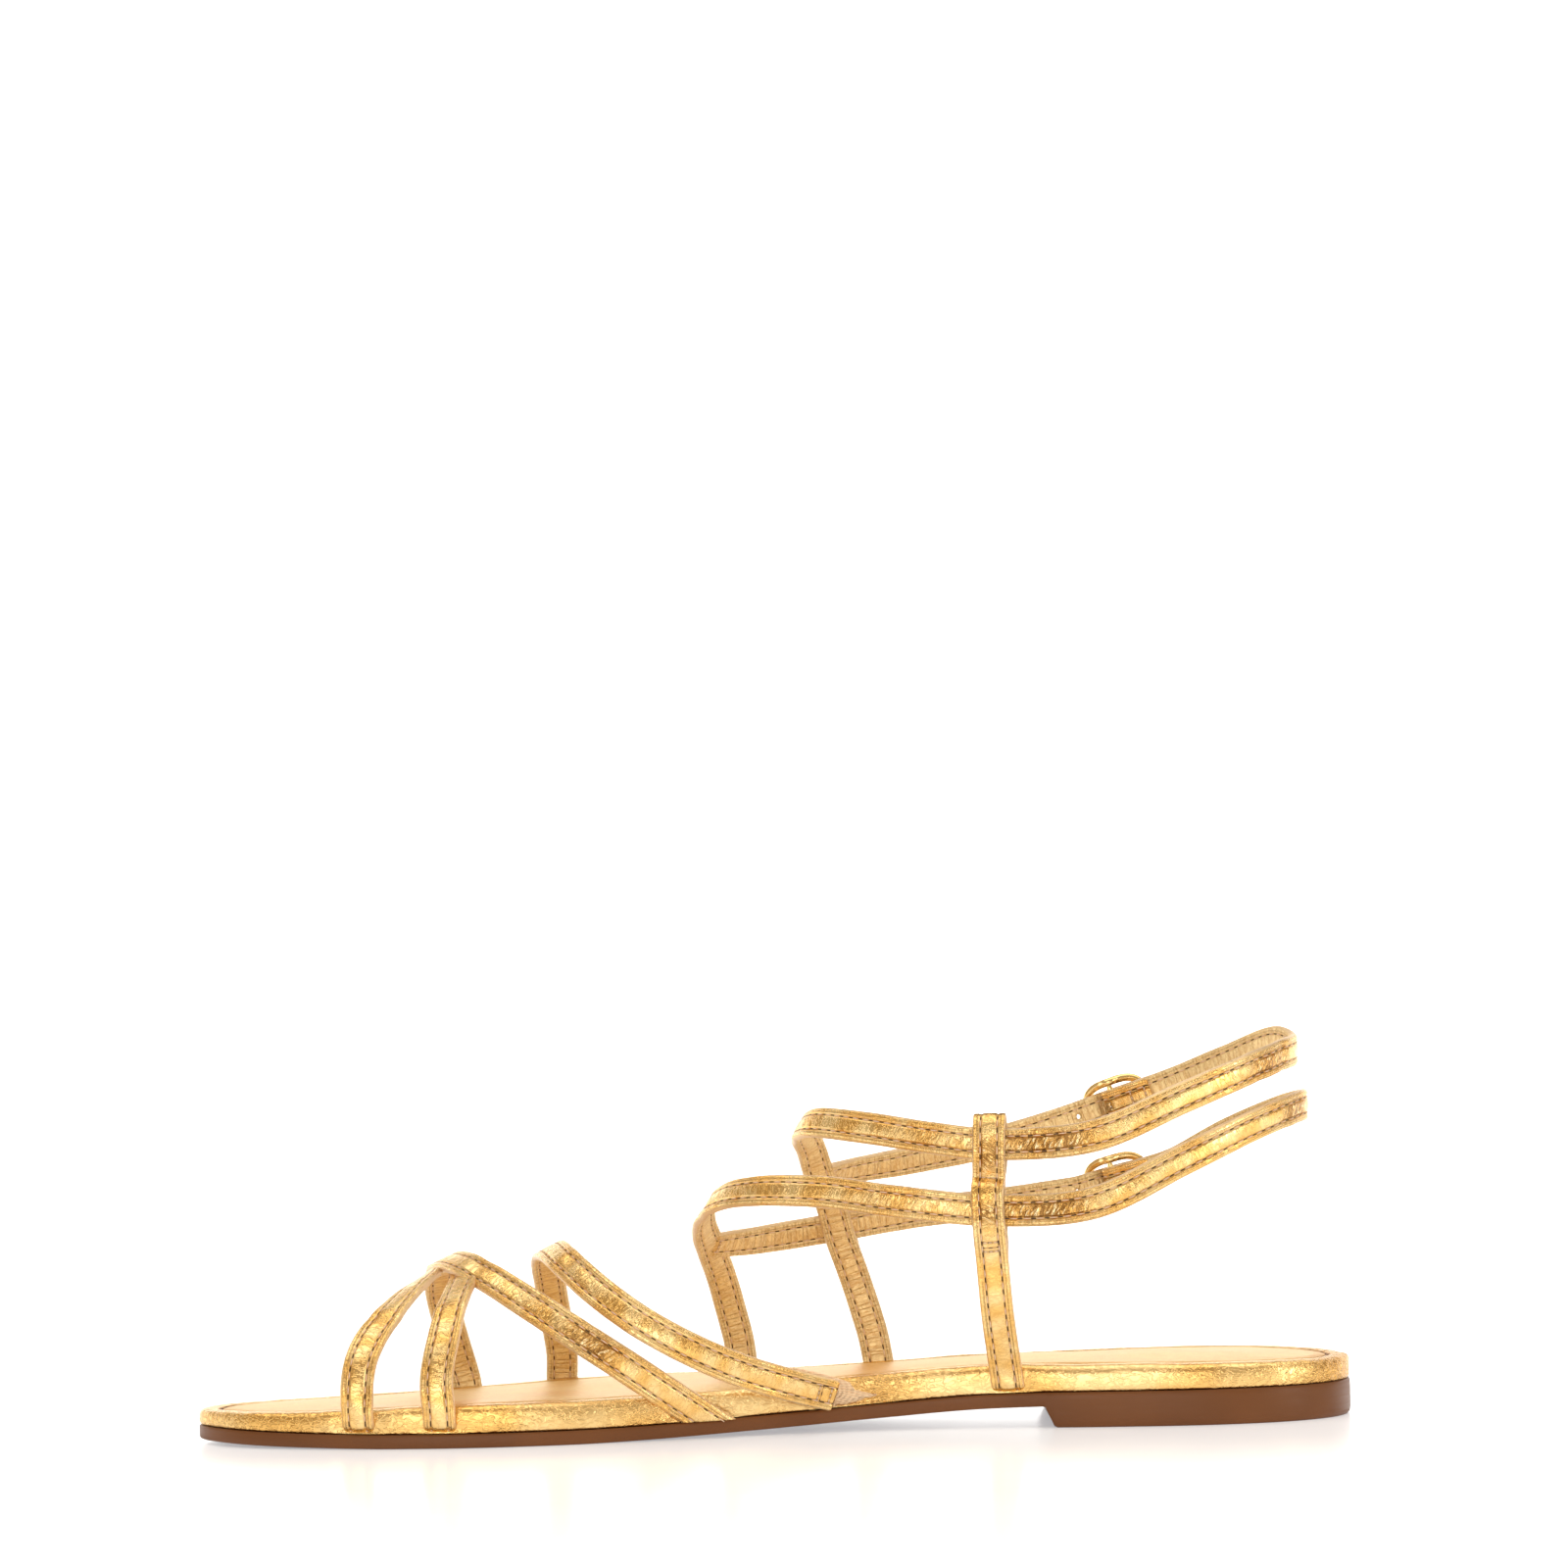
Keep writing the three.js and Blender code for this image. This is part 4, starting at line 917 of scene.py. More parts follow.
def raised(first, *layers):
    """A normal from bump layers: each is a height from 0 to 1 and its depth in millimetres."""
    normal = None
    for height, depth in layers:
        inputs = {"Height": height, "Distance": depth * MM, "Strength": 1.0}
        if normal:
            inputs["Normal"] = normal
        normal = first.node("ShaderNodeBump", 0, None, **inputs)
    return normal


# %% [markdown]
# ## Colours
# The leather is covered with a thin metal foil. Its colour is a mix of a few golds: pale where it is smooth,
# deep where it is folded, and brown in the cracks. The deep gold is painted shade, the brown is a painted dark
# reflection with painted highlights beside it, and the paler gold of the inner faces is painted light.

# %% Colours
GOLD_LIGHT = (0.930, 0.680, 0.310, 1)
GOLD = (0.850, 0.510, 0.155, 1)
# Painted shade: the deeper gold of folds, wrinkles, cracks and gathers
GOLD_FOLD_SHADE = (0.500, 0.215, 0.035, 1)
ROW_SHADE = (0.420, 0.190, 0.060, 1)
# Painted shade in the needle holes
NEEDLE_HOLE_SHADE = (0.085, 0.032, 0.010, 1)
EDGE_PINK = (0.860, 0.620, 0.400, 1)
# Painted dark reflection on the facets of the cracks, and painted shade along the fold line
SHADE_AND_REFLECTION_BROWN = (0.200, 0.080, 0.018, 1)
# Painted highlight beside the cracks
GLINT = (1.000, 0.860, 0.540, 1)
# Painted light: the paler gold of the straps' inner faces
INNER_LIT_GOLD = (0.990, 0.790, 0.430, 1)
# Painted shade in the stitched groove between rim and sock
SEAM_SHADE_BROWN = (0.300, 0.125, 0.050, 1)
TACK_PITCH = 1.7
FOLD_INSET = 1.05
print("golds from", GOLD_FOLD_SHADE[:3], "to", GOLD_LIGHT[:3])

# %% [markdown]
# ## Foil leather of the straps
# The foil is finely wrinkled all over. It is cracked in slanted patches where a strap was bent, and its inner
# face has bands across it. Needle holes lie in two rows. Holes and channels are painted and raised from the
# vertices' numbers, because at this size they are too many to model one by one.

# %% Foil leather of the straps
def strap_leather(name, width):
    """Foil leather for a strap: wrinkles run across it, and needle holes lie in its two rows of stitches."""
    material, shader, first = new_material(name)
    across, along = kept(first, "across"), kept(first, "along")
    inner, level = kept(first, "inner"), kept(first, "crackle")
    tack = kept(first, "tack")
    lane = first.node("ShaderNodeCombineXYZ", i0=across, i1=along, i2=inner * 9.0)
    drift = noise_at(lane, 0.16, 1.0)
    fine = noise_at(scaled(lane, 0.5, 1.0, 1.0), 1.0, 2.5, 0.8, 0.55)
    ridges = (fine - 0.5).size().ramp(0.10, 0.0)
    slanted = first.node(
        "ShaderNodeCombineXYZ", i0=across * 0.38, i1=along + across * 0.45, i2=inner * 9.0)
    crumple = noise_at(slanted, 1.35, 2.0, 0.9, 0.5)
    # Painted shadow line where the rolled edge meets the face, also sunk as a shallow groove in the bump
    fold_line = (across.size() - (width / 2 - FOLD_INSET)).size().ramp(0.2, 0.04) * drift.ramp(0.25, 0.5)
    bands = (noise_at(scaled(lane, 0.10, 1.0, 1.0), 0.75, 1.5, 0.2) - 0.5).size().ramp(0.09, 0.0) * inner
    middle = across.size().ramp(width / 2 - ROW_INSET - 0.1, width / 2 - ROW_INSET - 0.7)
    strong = level.ramp(0.35, 1.0) * (0.3 + middle * 0.7)
    row = (across.size() - (width / 2 - ROW_INSET)).size()
    step = (along / STITCH_PITCH).math("FRACT")
    hole = row.ramp(0.18, 0.06) * (step - 0.5).size().ramp(0.29, 0.35)
    cross_step = (across / TACK_PITCH).math("FRACT")
    inside = across.size().ramp(width / 2 - ROW_INSET + 0.2, width / 2 - ROW_INSET)
    tacked = tack.size()
    cross_hole = tacked.ramp(0.21, 0.07) * (cross_step - 0.5).size().ramp(0.22, 0.30) * inside
    hole = hole.math("MAXIMUM", cross_hole)
    channel = row.ramp(0.55, 0.1).math("MAXIMUM", tacked.ramp(0.55, 0.1) * inside)
    flat = 1.0 - channel
    # pale differs at random, is lowered in cracked patches as painted shade, and is raised on the inner face
    # as painted light
    pale = (drift.ramp(0.35, 0.65) * (1.0 - strong * 0.6) + inner * 0.6).math("MINIMUM", 1.0)
    tone = (inner * 0.65).mix(pale.mix(GOLD, GOLD_LIGHT), INNER_LIT_GOLD)
    # Painted shade: deeper gold in the wrinkles, the cracked patches and the inner face's bands
    tone = ((ridges * 0.3 + strong * 0.35) * flat + bands * 0.22).math("MINIMUM", 1.0).mix(tone, GOLD_FOLD_SHADE)
    tone = (across.size().ramp(width / 2 - 0.45, width / 2) * 0.7).mix(tone, EDGE_PINK)
    # Painted dark reflections on some facets of the cracks, then painted highlights on the other facets
    dark_reflection = crumple.ramp(0.53, 0.42) * strong * (1.0 - inner)
    tone = (dark_reflection * 0.75 * flat).mix(tone, SHADE_AND_REFLECTION_BROWN)
    tone = (crumple.ramp(0.56, 0.64) * strong * 0.7).mix(tone, GLINT)
    # Painted shade along the fold line
    tone = (fold_line * 0.25).mix(tone, SHADE_AND_REFLECTION_BROWN)
    tone = (channel * 0.22 + tacked.ramp(0.5, 0.1) * inside * 0.4).mix(tone, ROW_SHADE)
    # Painted shade in the needle holes, which are also sunk in the bump and not metallic
    tone = hole.mix(tone, NEEDLE_HOLE_SHADE)
    feed(
        shader, first, Base_Color=tone, Metallic=(1.0 - hole) * (1.0 - inner * 0.4),
        Roughness=0.19 + drift.ramp(0.3, 0.7) * 0.08 + inner * 0.22 + channel * 0.15,
        Normal=raised(
            first, (ridges * flat * (level + 0.15), 0.11), (crumple * strong * flat, 0.6),
            (bands * flat, -0.14), (fold_line, -0.15), (hole, -0.3)),
    )
    return material


STRAP_LEATHER = strap_leather("foil_strap", STRAP_WIDTH)
ANKLE_LEATHER = strap_leather("foil_ankle_strap", ANKLE_STRAP_WIDTH)
print(STRAP_LEATHER.name, "and", ANKLE_LEATHER.name)

# %% [markdown]
# ## Foil leather of the footbed
# The wrap of the insole has fine, irregular wrinkles, and it is gathered where it turns at heel and toe. The
# sock has the same leather with a duller face, worn by the foot.

# %% Foil leather of the footbed
def sole_leather(name, wrinkle, metal, dull):
    """Foil leather for the insole: fine irregular wrinkles, gathered where it turns at heel and toe."""
    material, shader, first = new_material(name)
    where = spot(first)
    gather = kept(first, "gather")
    seam = kept(first, "seam")
    around = kept(first, "around")
    drift = noise_at(where, 45.0, 1.5)
    fine = noise_at(scaled(where, 0.7, 1.0, 1.2), 700.0, 2.5, 0.9, 0.55)
    ridges = (fine - 0.5).size().ramp(0.10, 0.0)
    crumple = noise_at(scaled(where, 0.8, 1.0, 1.4), 520.0, 2.0, 0.6, 0.5)
    strong = gather.ramp(0.15, 1.0)
    step = (around / STITCH_PITCH).math("FRACT")
    hole = seam.ramp(0.45, 0.15) * (step - 0.5).size().ramp(0.22, 0.32)
    channel = seam.ramp(0.8, 0.2)
    # Painted shade: less pale and deeper gold in the wrinkles and the gathers
    tone = (drift.ramp(0.35, 0.65) * (1.0 - strong * 0.5)).mix(GOLD, GOLD_LIGHT)
    tone = (ridges * 0.2 + strong * 0.35).mix(tone, GOLD_FOLD_SHADE)
    # Painted shade in the seam's groove
    tone = (channel * 0.7).mix(tone, SEAM_SHADE_BROWN)
    # Painted shade in the needle holes of the seam
    tone = hole.mix(tone, NEEDLE_HOLE_SHADE)
    feed(
        shader, first, Base_Color=tone, Metallic=(1.0 - hole) * metal,
        Roughness=dull + drift.ramp(0.3, 0.7) * 0.1 + channel * 0.3,
        Normal=raised(
            first, (ridges * (gather + 0.25), wrinkle), (crumple * strong, wrinkle * 5), (hole, -0.3)),
    )
    return material


RIM_LEATHER = sole_leather("foil_rim", 0.15, metal=1.0, dull=0.21)
SOCK_LEATHER = sole_leather("foil_sock", 0.08, metal=0.75, dull=0.36)
print(RIM_LEATHER.name, "and", SOCK_LEATHER.name)

# %% [markdown]
# ## Sole, metal, elastic and thread
# The moulded sole is satin brown with faint drag marks. The buckles are plated and polished. The elastic is
# woven on the slant, and the thread is pale and twisted. Each gets its own grain at its own scale.

# %% Sole, metal, elastic and thread
def sole_rubber():
    """The moulded sole: smooth satin brown with faint drag marks along its side."""
    material, shader, first = new_material("sole_brown")
    where = spot(first)
    drag = noise_at(scaled(where, 0.06, 0.06, 1.0), 1400.0, 2.0)
    cloud = noise_at(where, 45.0, 2.0)
    grain = noise_at(where, 2600.0, 1.0)
    tone = cloud.ramp(0.3, 0.7).mix((0.152, 0.051, 0.011, 1), (0.180, 0.062, 0.014, 1))
    feed(
        shader, first, Base_Color=tone, Roughness=0.38 + drag.ramp(0.3, 0.7) * 0.08, Specular_IOR_Level=0.3,
        Normal=raised(first, (drag, 0.015), (grain, 0.012)),
    )
    return material


def gold_metal():
    """Polished gold plating with a few hairline marks."""
    material, shader, first = new_material("buckle_gold")
    where = spot(first)
    marks = noise_at(scaled(where, 1.0, 1.0, 0.1), 2200.0, 2.0)
    wear = noise_at(where, 160.0, 2.0)
    tone = wear.ramp(0.35, 0.65).mix((0.80, 0.54, 0.20, 1), (0.95, 0.72, 0.34, 1))
    feed(
        shader, first, Base_Color=tone, Metallic=1.0, Roughness=0.13 + wear.ramp(0.4, 0.7) * 0.08,
        Normal=raised(first, (marks, 0.012)),
    )
    return material


def woven_elastic():
    """The elastic: fine ribs along it, crossed by its threads."""
    material, shader, first = new_material("elastic_weave")
    across, along = kept(first, "across"), kept(first, "along")
    rib = (((across + along * 0.5) * (2 * math.pi / 0.75)).math("SINE") * 0.5) + 0.5
    thread = ((along * (2 * math.pi / 0.55)).math("SINE") * 0.5) + 0.5
    fuzz = noise_at(spot(first), 900.0, 3.0)
    tone = (rib * 0.6 + fuzz * 0.4).mix((0.86, 0.54, 0.30, 1), (1.00, 0.77, 0.50, 1))
    feed(
        shader, first, Base_Color=tone, Roughness=0.85,
        Normal=raised(first, (rib, 0.14), (thread, 0.08), (fuzz, 0.05)),
    )
    return material


def sewing_thread():
    """Pale pink-beige twisted thread."""
    material, shader, first = new_material("thread_beige")
    fibre = noise_at(spot(first), 3500.0, 2.0)
    tone = fibre.mix((0.62, 0.40, 0.24, 1), (0.90, 0.68, 0.48, 1))
    feed(shader, first, Base_Color=tone, Roughness=0.6, Normal=raised(first, (fibre, 0.06)))
    return material


SOLE_RUBBER = sole_rubber()
BUCKLE_GOLD = gold_metal()
ELASTIC_WEAVE = woven_elastic()
THREAD = sewing_thread()
print(len(bpy.data.materials), "materials")

# %% [markdown]
# ## Sole
# The sole is one moulding. It is laid in rings round the outline: in from the middle of its underside, round
# its edges and back over its upper face. Rings follow the outline by themselves, which a cut block wouldn't.
# The columns stand closer together at the heel's breast.

# %% Sole
COLUMNS_HALF = 110
turns = sorted(
    [math.pi * i / COLUMNS_HALF for i in range(COLUMNS_HALF + 1)
     if abs(math.pi * i / COLUMNS_HALF - half_turn(BREAST)) > 0.02
     and abs(math.pi * i / COLUMNS_HALF - half_turn(BREAST_FOOT)) > 0.02]
    + [half_turn(BREAST + d) for d in (-0.0004, 0.0022)]
    + [half_turn(BREAST_FOOT + d) for d in (-0.002, 0.0006)]
)
ROUND = [(turn, "medial") for turn in turns] + [(turn, "lateral") for turn in back(turns)[1:]]


def ring_point(turn, side, inset, height, spine=0.0):
    """A point inset from the outline; spine moves it to the shoe's centre line."""
    along = (1 - math.cos(turn)) / 2
    flat = outline_point(along, side, inset)
    if spine:
        other = outline_point(along, "lateral" if side == "medial" else "medial", inset)
        flat = flat.lerp((flat + other) / 2, spine)
    return Vector((flat.x, flat.y, height(along, side)))


# share is of the way up from the underside to the upper face
SOLE_ROWS = rows("inset share spine", [
    (1.2, 0.0, 1.0), (1.2, 0.0, 0.6), (1.2, 0.0, 0.25), (1.2, 0.0, 0.0), (0.62, 0.0, 0.0), (0.18, 0.06, 0.0),
    (0.02, 0.2, 0.0), (0.0, 0.5, 0.0), (0.0, 0.8, 0.0), (0.05, 0.93, 0.0), (0.3, 1.0, 0.0),
    (1.2, 1.0, 0.0), (1.2, 1.0, 0.5), (1.2, 1.0, 1.0),
])


def lay_sole(column, row):
    turn, side = ROUND[column]
    spec = SOLE_ROWS[row]

    def height(along, _):
        low, high = underside(along), sole_top(along)
        return low + (high - low) * spec["share"]

    return ring_point(turn, side, spec["inset"], height, spec["spine"]), {"around": turn}


sole = grid_piece("sole_unit", len(ROUND) - 1, len(SOLE_ROWS) - 1, lay_sole)
dress(sole, SOLE_RUBBER, "sole_unit", "outsole")

# %% [markdown]
# ## Dents and folds of the rim
# The insole is wrapped in leather that swells over its rim and dives into a stitched groove. A cloth
# simulation could swell it, but this pad is thin and firm, so its slack and folds are worked out directly.
# The straps press into it where they come out from under it.

# %% Dents and folds of the rim
around_mm = [0.0]
for (turn_a, side_a), (turn_b, side_b) in zip(ROUND, ROUND[1:]):
    flat_a = ring_point(turn_a, side_a, RIM_WIDTH, insole_top)
    flat_b = ring_point(turn_b, side_b, RIM_WIDTH, insole_top)
    around_mm.append(around_mm[-1] + (flat_b - flat_a).length)

# drop is how far a row lies below its share of the insole's height, in millimetres
RIM_ROWS = rows("inset share drop spine", [
    (2.4, 0.0, 0.12, 1.0), (2.4, 0.0, 0.12, 0.5), (2.4, 0.0, 0.12, 0.0), (1.0, 0.0, 0.12, 0.0),
    (0.42, 0.0, 0.06, 0.0), (0.24, 0.05, 0.0, 0.0), (0.12, 0.15, 0.0, 0.0), (0.05, 0.30, 0.0, 0.0),
    (0.04, 0.45, 0.0, 0.0), (0.10, 0.60, 0.0, 0.0), (0.24, 0.73, 0.0, 0.0), (0.50, 0.84, 0.0, 0.0),
    (0.95, 0.92, 0.0, 0.0), (1.60, 0.97, 0.0, 0.0), (2.35, 0.99, 0.0, 0.0), (3.05, 1.0, 0.0, 0.0),
    (3.60, 1.0, 0.07, 0.0), (4.05, 1.0, 0.18, 0.0), (4.40, 1.0, 0.34, 0.0), (4.65, 1.0, 0.54, 0.0),
    (4.78, 1.0, 0.70, 0.0), (4.84, 1.0, 1.15, 0.0), (5.20, 1.0, 1.40, 0.0),
])


# A lasted end meets the line of its footing this far above the insole's underside, in millimetres
FOOT_RISE = 1.0
# How far a strap presses the rim in, in millimetres
PRESSED = 1.05


def press(x, side, share):
    """How far the straps press the rim in at a place, in millimetres."""
    deep = 0.0
    for name, (along, strap_side, lean) in FOOTING.items():
        if strap_side != side:
            continue
        centre = (along - 0.5) * SHOE_LENGTH + lean * (share * INSOLE_THICKNESS - FOOT_RISE)
        reach = abs(x - centre) / (STRAP_WIDTH / 2 * math.sqrt(1 + lean * lean))
        deep = max(deep, 1.0 if reach < 1 else max(0.0, 1 - (reach - 1) / 0.35))
    rises = min(1.0, max(0.0, 1.15 - share)) ** 0.5
    return PRESSED * deep * deep * (3 - 2 * deep) * rises


# Where the wrap is wrinkled: at is a share of the shoe's length, and so is reach
GATHERS = rows("side at reach amount", [
    ("medial", 0.00, 0.055, 0.9),
    ("lateral", 0.00, 0.055, 0.9),
    ("medial", 1.00, 0.150, 0.45),
    ("lateral", 1.00, 0.090, 0.45),
    ("medial", 0.415, 0.035, 0.6),
    ("medial", 0.590, 0.045, 0.5),
    ("medial", 0.725, 0.020, 0.3),
    ("lateral", 0.570, 0.050, 0.5),
    ("lateral", 0.740, 0.030, 0.5),
])


def gathered(along, side):
    """How strongly the wrap is wrinkled at a place, from 0 to 1."""
    return max(
        (row["amount"] * bump(along - row["at"], row["reach"]) for row in GATHERS if row["side"] == side),
        default=0.0)


# How far the wrap's slack, its fine folds and its pleats rise, in millimetres
RIM_SLACK = 0.20
RIM_FOLD = 0.10
RIM_PLEAT = 0.26


def rim_wave(around, share, gather):
    """Folds and slack of the wrap on the rim, in millimetres."""
    slack = RIM_SLACK * noise.noise(Vector((around / 12, share * 1.6, 2.0)))
    fold = RIM_FOLD * noise.noise(Vector((around / 3.2, share * 2.6, 7.0)))
    pleat = RIM_PLEAT * gather * noise.noise(Vector((around / 2.0, share * 1.2, 4.0)))
    return slack + fold + pleat


print(round(around_mm[-1]), "mm round the seam")

# %% [markdown]
# ## Rim
# Each row of the rim runs round the whole shoe. It is pressed in under the straps and moved by the folds.

# %% Rim
def lay_rim(column, row):
    turn, side = ROUND[column]
    spec = RIM_ROWS[row]
    along = (1 - math.cos(turn)) / 2
    share = spec["share"]
    x = (along - 0.5) * SHOE_LENGTH
    shown = 0.0 < share and not spec["spine"]
    around = around_mm[column]
    inset = spec["inset"]
    lift = 0.0
    if shown:
        wave = rim_wave(around % around_mm[-1], share, gathered(along, side))
        inset += press(x, side, share) * (1.0 if spec["inset"] < 3 else 0.0) - wave * 0.7
        lift = wave if share > 0.6 else 0.0
        inset = max(inset, 0.02)

    def height(s, at_side):
        low, high = insole_bottom(s), insole_top(s, at_side)
        return low + (high - low) * share - spec["drop"] + lift

    seam = abs(spec["inset"] - RIM_WIDTH) if shown and share > 0.3 else 9.0
    values = {"around": around, "seam": seam, "gather": gathered(along, side)}
    return ring_point(turn, side, inset, height, spec["spine"]), values


rim = grid_piece("insole_rim", len(ROUND) - 1, len(RIM_ROWS) - 1, lay_rim)
dress(rim, RIM_LEATHER, "foil_leather", "insole")

# %% [markdown]
# ## Sock
# The sock is the lining that the foot stands on. It is slightly crowned and tucked into the groove. Its slack
# is read from the place itself, so that the inner and outer side meet on the centre line.

# %% Sock
SOCK_SLACK = 0.10
SOCK_ROWS = rows("inset drop spine", [
    (5.6, 1.5, 1.0), (5.6, 1.5, 0.0), (4.96, 1.40, 0.0), (4.88, 0.75, 0.0), (4.96, 0.56, 0.0),
    (5.2, 0.36, 0.0), (5.6, 0.18, 0.0), (6.3, 0.04, 0.0), (7.6, 0.0, 0.0), (7.6, 0.0, 0.1),
    (7.6, 0.0, 0.22), (7.6, 0.0, 0.38), (7.6, 0.0, 0.58), (7.6, 0.0, 0.8), (7.6, 0.0, 1.0),
])


def lay_sock(column, row):
    turn, side = ROUND[column]
    spec = SOCK_ROWS[row]
    along = (1 - math.cos(turn)) / 2
    around = around_mm[column]
    upper = row > 2
    crown = SOCK_CROWN * math.sin(math.pi / 2 * spec["spine"]) if upper else 0.0

    def height(s, at_side):
        mine = insole_top(s, at_side)
        other = insole_top(s, "lateral" if at_side == "medial" else "medial")
        level = mine + (other - mine) * spec["spine"] / 2
        return level - spec["drop"] + crown * min(1, s * 12, (1 - s) * 12)

    point = ring_point(turn, side, spec["inset"], height, spec["spine"])
    if upper:
        slack = SOCK_SLACK * noise.noise(Vector((point.x / 12, point.y / 9, 1.0)))
        point.z += slack * min(1, along * 12, (1 - along) * 12)
    seam = abs(spec["inset"] - RIM_WIDTH) if upper or row == 2 else 9.0
    near_edge = max(0.0, 1 - max(0.0, spec["inset"] + spec["spine"] * 20 - 5) / 9)
    values = {"around": around, "seam": seam, "gather": gathered(along, side) * near_edge}
    return point, values


sock = grid_piece("insole_sock", len(ROUND) - 1, len(SOCK_ROWS) - 1, lay_sock)
dress(sock, SOCK_LEATHER, "sock_leather", "sock_lining")

# %% [markdown]
# ## Creases, patches and cross rows
# Creases, crackled patches and short cross rows of stitches are placed where the photograph shows them. at
# is a share of the strap's length from its start, and width, depth and reach are in millimetres.

# %% Creases, patches and cross rows
CREASES = rows("strap at width depth slant", [
    ("strap_crossing", 0.215, 1.8, 0.20, 0.4),
    ("strap_crossing", 0.260, 1.3, 0.26, 0.3),
    ("strap_crossing", 0.315, 1.6, 0.22, -0.3),
    ("strap_crossing", 0.480, 2.4, 0.25, 0.2),
    ("strap_instep", 0.350, 2.4, 0.18, 0.4),
    ("strap_instep", 0.450, 2.2, 0.25, -0.2),
    ("strap_first_toe", 0.500, 1.8, 0.18, 0.3),
    ("strap_second_toe", 0.560, 1.8, 0.18, -0.2),
    ("strap_upper_main", 0.290, 1.6, 0.28, 0.2),
    ("strap_upper_main", 0.530, 1.5, 0.22, 0.4),
    ("strap_upper_main", 0.570, 1.3, 0.22, -0.3),
    ("strap_upper_main", 0.735, 1.6, 0.22, 0.2),
    ("strap_upper_main", 0.770, 1.3, 0.25, 0.1),
    ("strap_lower_main", 0.240, 1.8, 0.28, 0.2),
    ("strap_lower_main", 0.530, 1.5, 0.22, 0.4),
    ("strap_lower_main", 0.600, 1.6, 0.20, -0.2),
    ("strap_lower_main", 0.760, 1.5, 0.22, 0.1),
    ("strap_keeper_outer", 0.690, 1.2, 0.18, 0.0),
])
USUAL_WRINKLES = 0.30
# A patch's amount also sets how much painted dark reflection and painted highlight its cracks get
CRACKLE = rows("strap at reach amount", [
    ("strap_crossing", 0.060, 24, 0.04),
    ("strap_crossing", 0.255, 8, 1.00),
    ("strap_crossing", 0.345, 9, 0.55),
    ("strap_instep", 0.060, 28, 0.04),
    ("strap_instep", 0.370, 22, 0.45),
    ("strap_first_toe", 0.200, 8, 0.06),
    ("strap_first_toe", 0.480, 12, 0.45),
    ("strap_second_toe", 0.180, 8, 0.06),
    ("strap_second_toe", 0.500, 12, 0.40),
    ("strap_upper_main", 0.460, 14, 0.60),
    ("strap_upper_main", 0.550, 10, 1.00),
    ("strap_upper_main", 0.670, 9, 0.05),
    ("strap_upper_main", 0.750, 8, 0.95),
    ("strap_lower_main", 0.430, 18, 0.60),
    ("strap_lower_main", 0.548, 10, 1.00),
    ("strap_lower_main", 0.710, 7, 0.10),
    ("strap_lower_main", 0.775, 6, 0.90),
    ("strap_keeper_outer", 0.250, 26, 0.02),
    ("strap_keeper_outer", 0.690, 4, 0.90),
    ("strap_keeper_outer", 0.780, 4, 0.05),
    ("strap_keeper_outer", 0.870, 4, 0.90),
])

# Millimetres from the strap's start, or from its end where below 0
TACKS = rows("strap at", [
    ("strap_instep", 1.4),
    ("strap_instep", 4.0),
    ("strap_keeper_outer", -14.6),
    ("strap_keeper_outer", -29.0),
    ("strap_keeper_outer", -31.2),
    ("strap_keeper_inner", 14.6),
    ("strap_keeper_inner", 29.0),
    ("strap_keeper_inner", 31.2),
    ("strap_loop", 0.8),
    ("strap_loop", 2.6),
    ("strap_loop", -0.8),
    ("strap_loop", -2.6),
    ("strap_lower_holed", 1.2),
    ("strap_upper_holed", 1.2),
    ("strap_lower_fold", -1.2),
    ("strap_upper_fold", -1.2),
    ("strap_lower_fold", -4.4),
    ("strap_upper_fold", -4.4),
])
print(len(CREASES), "creases,", len(CRACKLE), "patches and", len(TACKS), "cross rows")

# %% [markdown]
# ## Section of a strap
# A strap's section is a folded band: round edges, a groove under each row of stitches and a slightly puffed
# middle. A free end is pinched in a few steps, which rounds it off.

# %% Section of a strap
# Steps in from a free end, in millimetres, with how far the section is pinched there
ROUND_END = ((0.0, 1.0), (0.15, 0.5), (0.45, 0.12))

# Half the width of a groove, and how far the middle of each face is puffed up, in millimetres
GROOVE_REACH = 0.30
OUTER_PUFF = 0.12
INNER_PUFF = 0.02


def strap_profile(width, thickness):
    """The section of a strap, as (across, high, inner) all round from the middle of its inner face."""
    half, t = width / 2, thickness / 2
    groove = half - ROW_INSET
    flats = [0, groove * 0.35, groove * 0.7]
    flats += [groove - 0.5, groove - 0.22, groove, groove + 0.22, groove + 0.5, half - t]

    def high(a, puff):
        top = t + puff * max(0.0, 1 - (a / groove) ** 2)
        return top - GROOVE_DEPTH * bump(a - groove, GROOVE_REACH)

    outer_face = [(a, high(a, OUTER_PUFF), 0.0) for a in flats]
    inner_face = [(a, -high(a, INNER_PUFF), 1.0) for a in flats]
    edge_face = []
    for degrees in (-68, -45, -22, 0, 22, 45, 68):
        angle = math.radians(degrees)
        edge_face.append((half - t + t * math.cos(angle), t * math.sin(angle), 0.5 - degrees / 136))
    whole = [*inner_face, *edge_face, *back(outer_face)]
    return whole + [(-a, h, inner) for a, h, inner in back(whole)][1:]


def with_round_ends(sections, free):
    """The sections with how far each is pinched, and more of them at the free ends."""
    found = [(section, 0.0) for section in sections[1:-1]]
    for at_start, end, next_in in ((True, sections[0], sections[1]), (False, sections[-1], sections[-2])):
        step = next_in.point - end.point
        length = step.length
        near = [(end, 0.0)]
        if free[0 if at_start else 1]:
            near = [
                (end._replace(point=end.point + step * (d / length),
                              along=end.along + (d if at_start else -d)), pinch)
                for d, pinch in ROUND_END
            ]
        found = [*near, *found] if at_start else [*found, *back(near)]
    return found


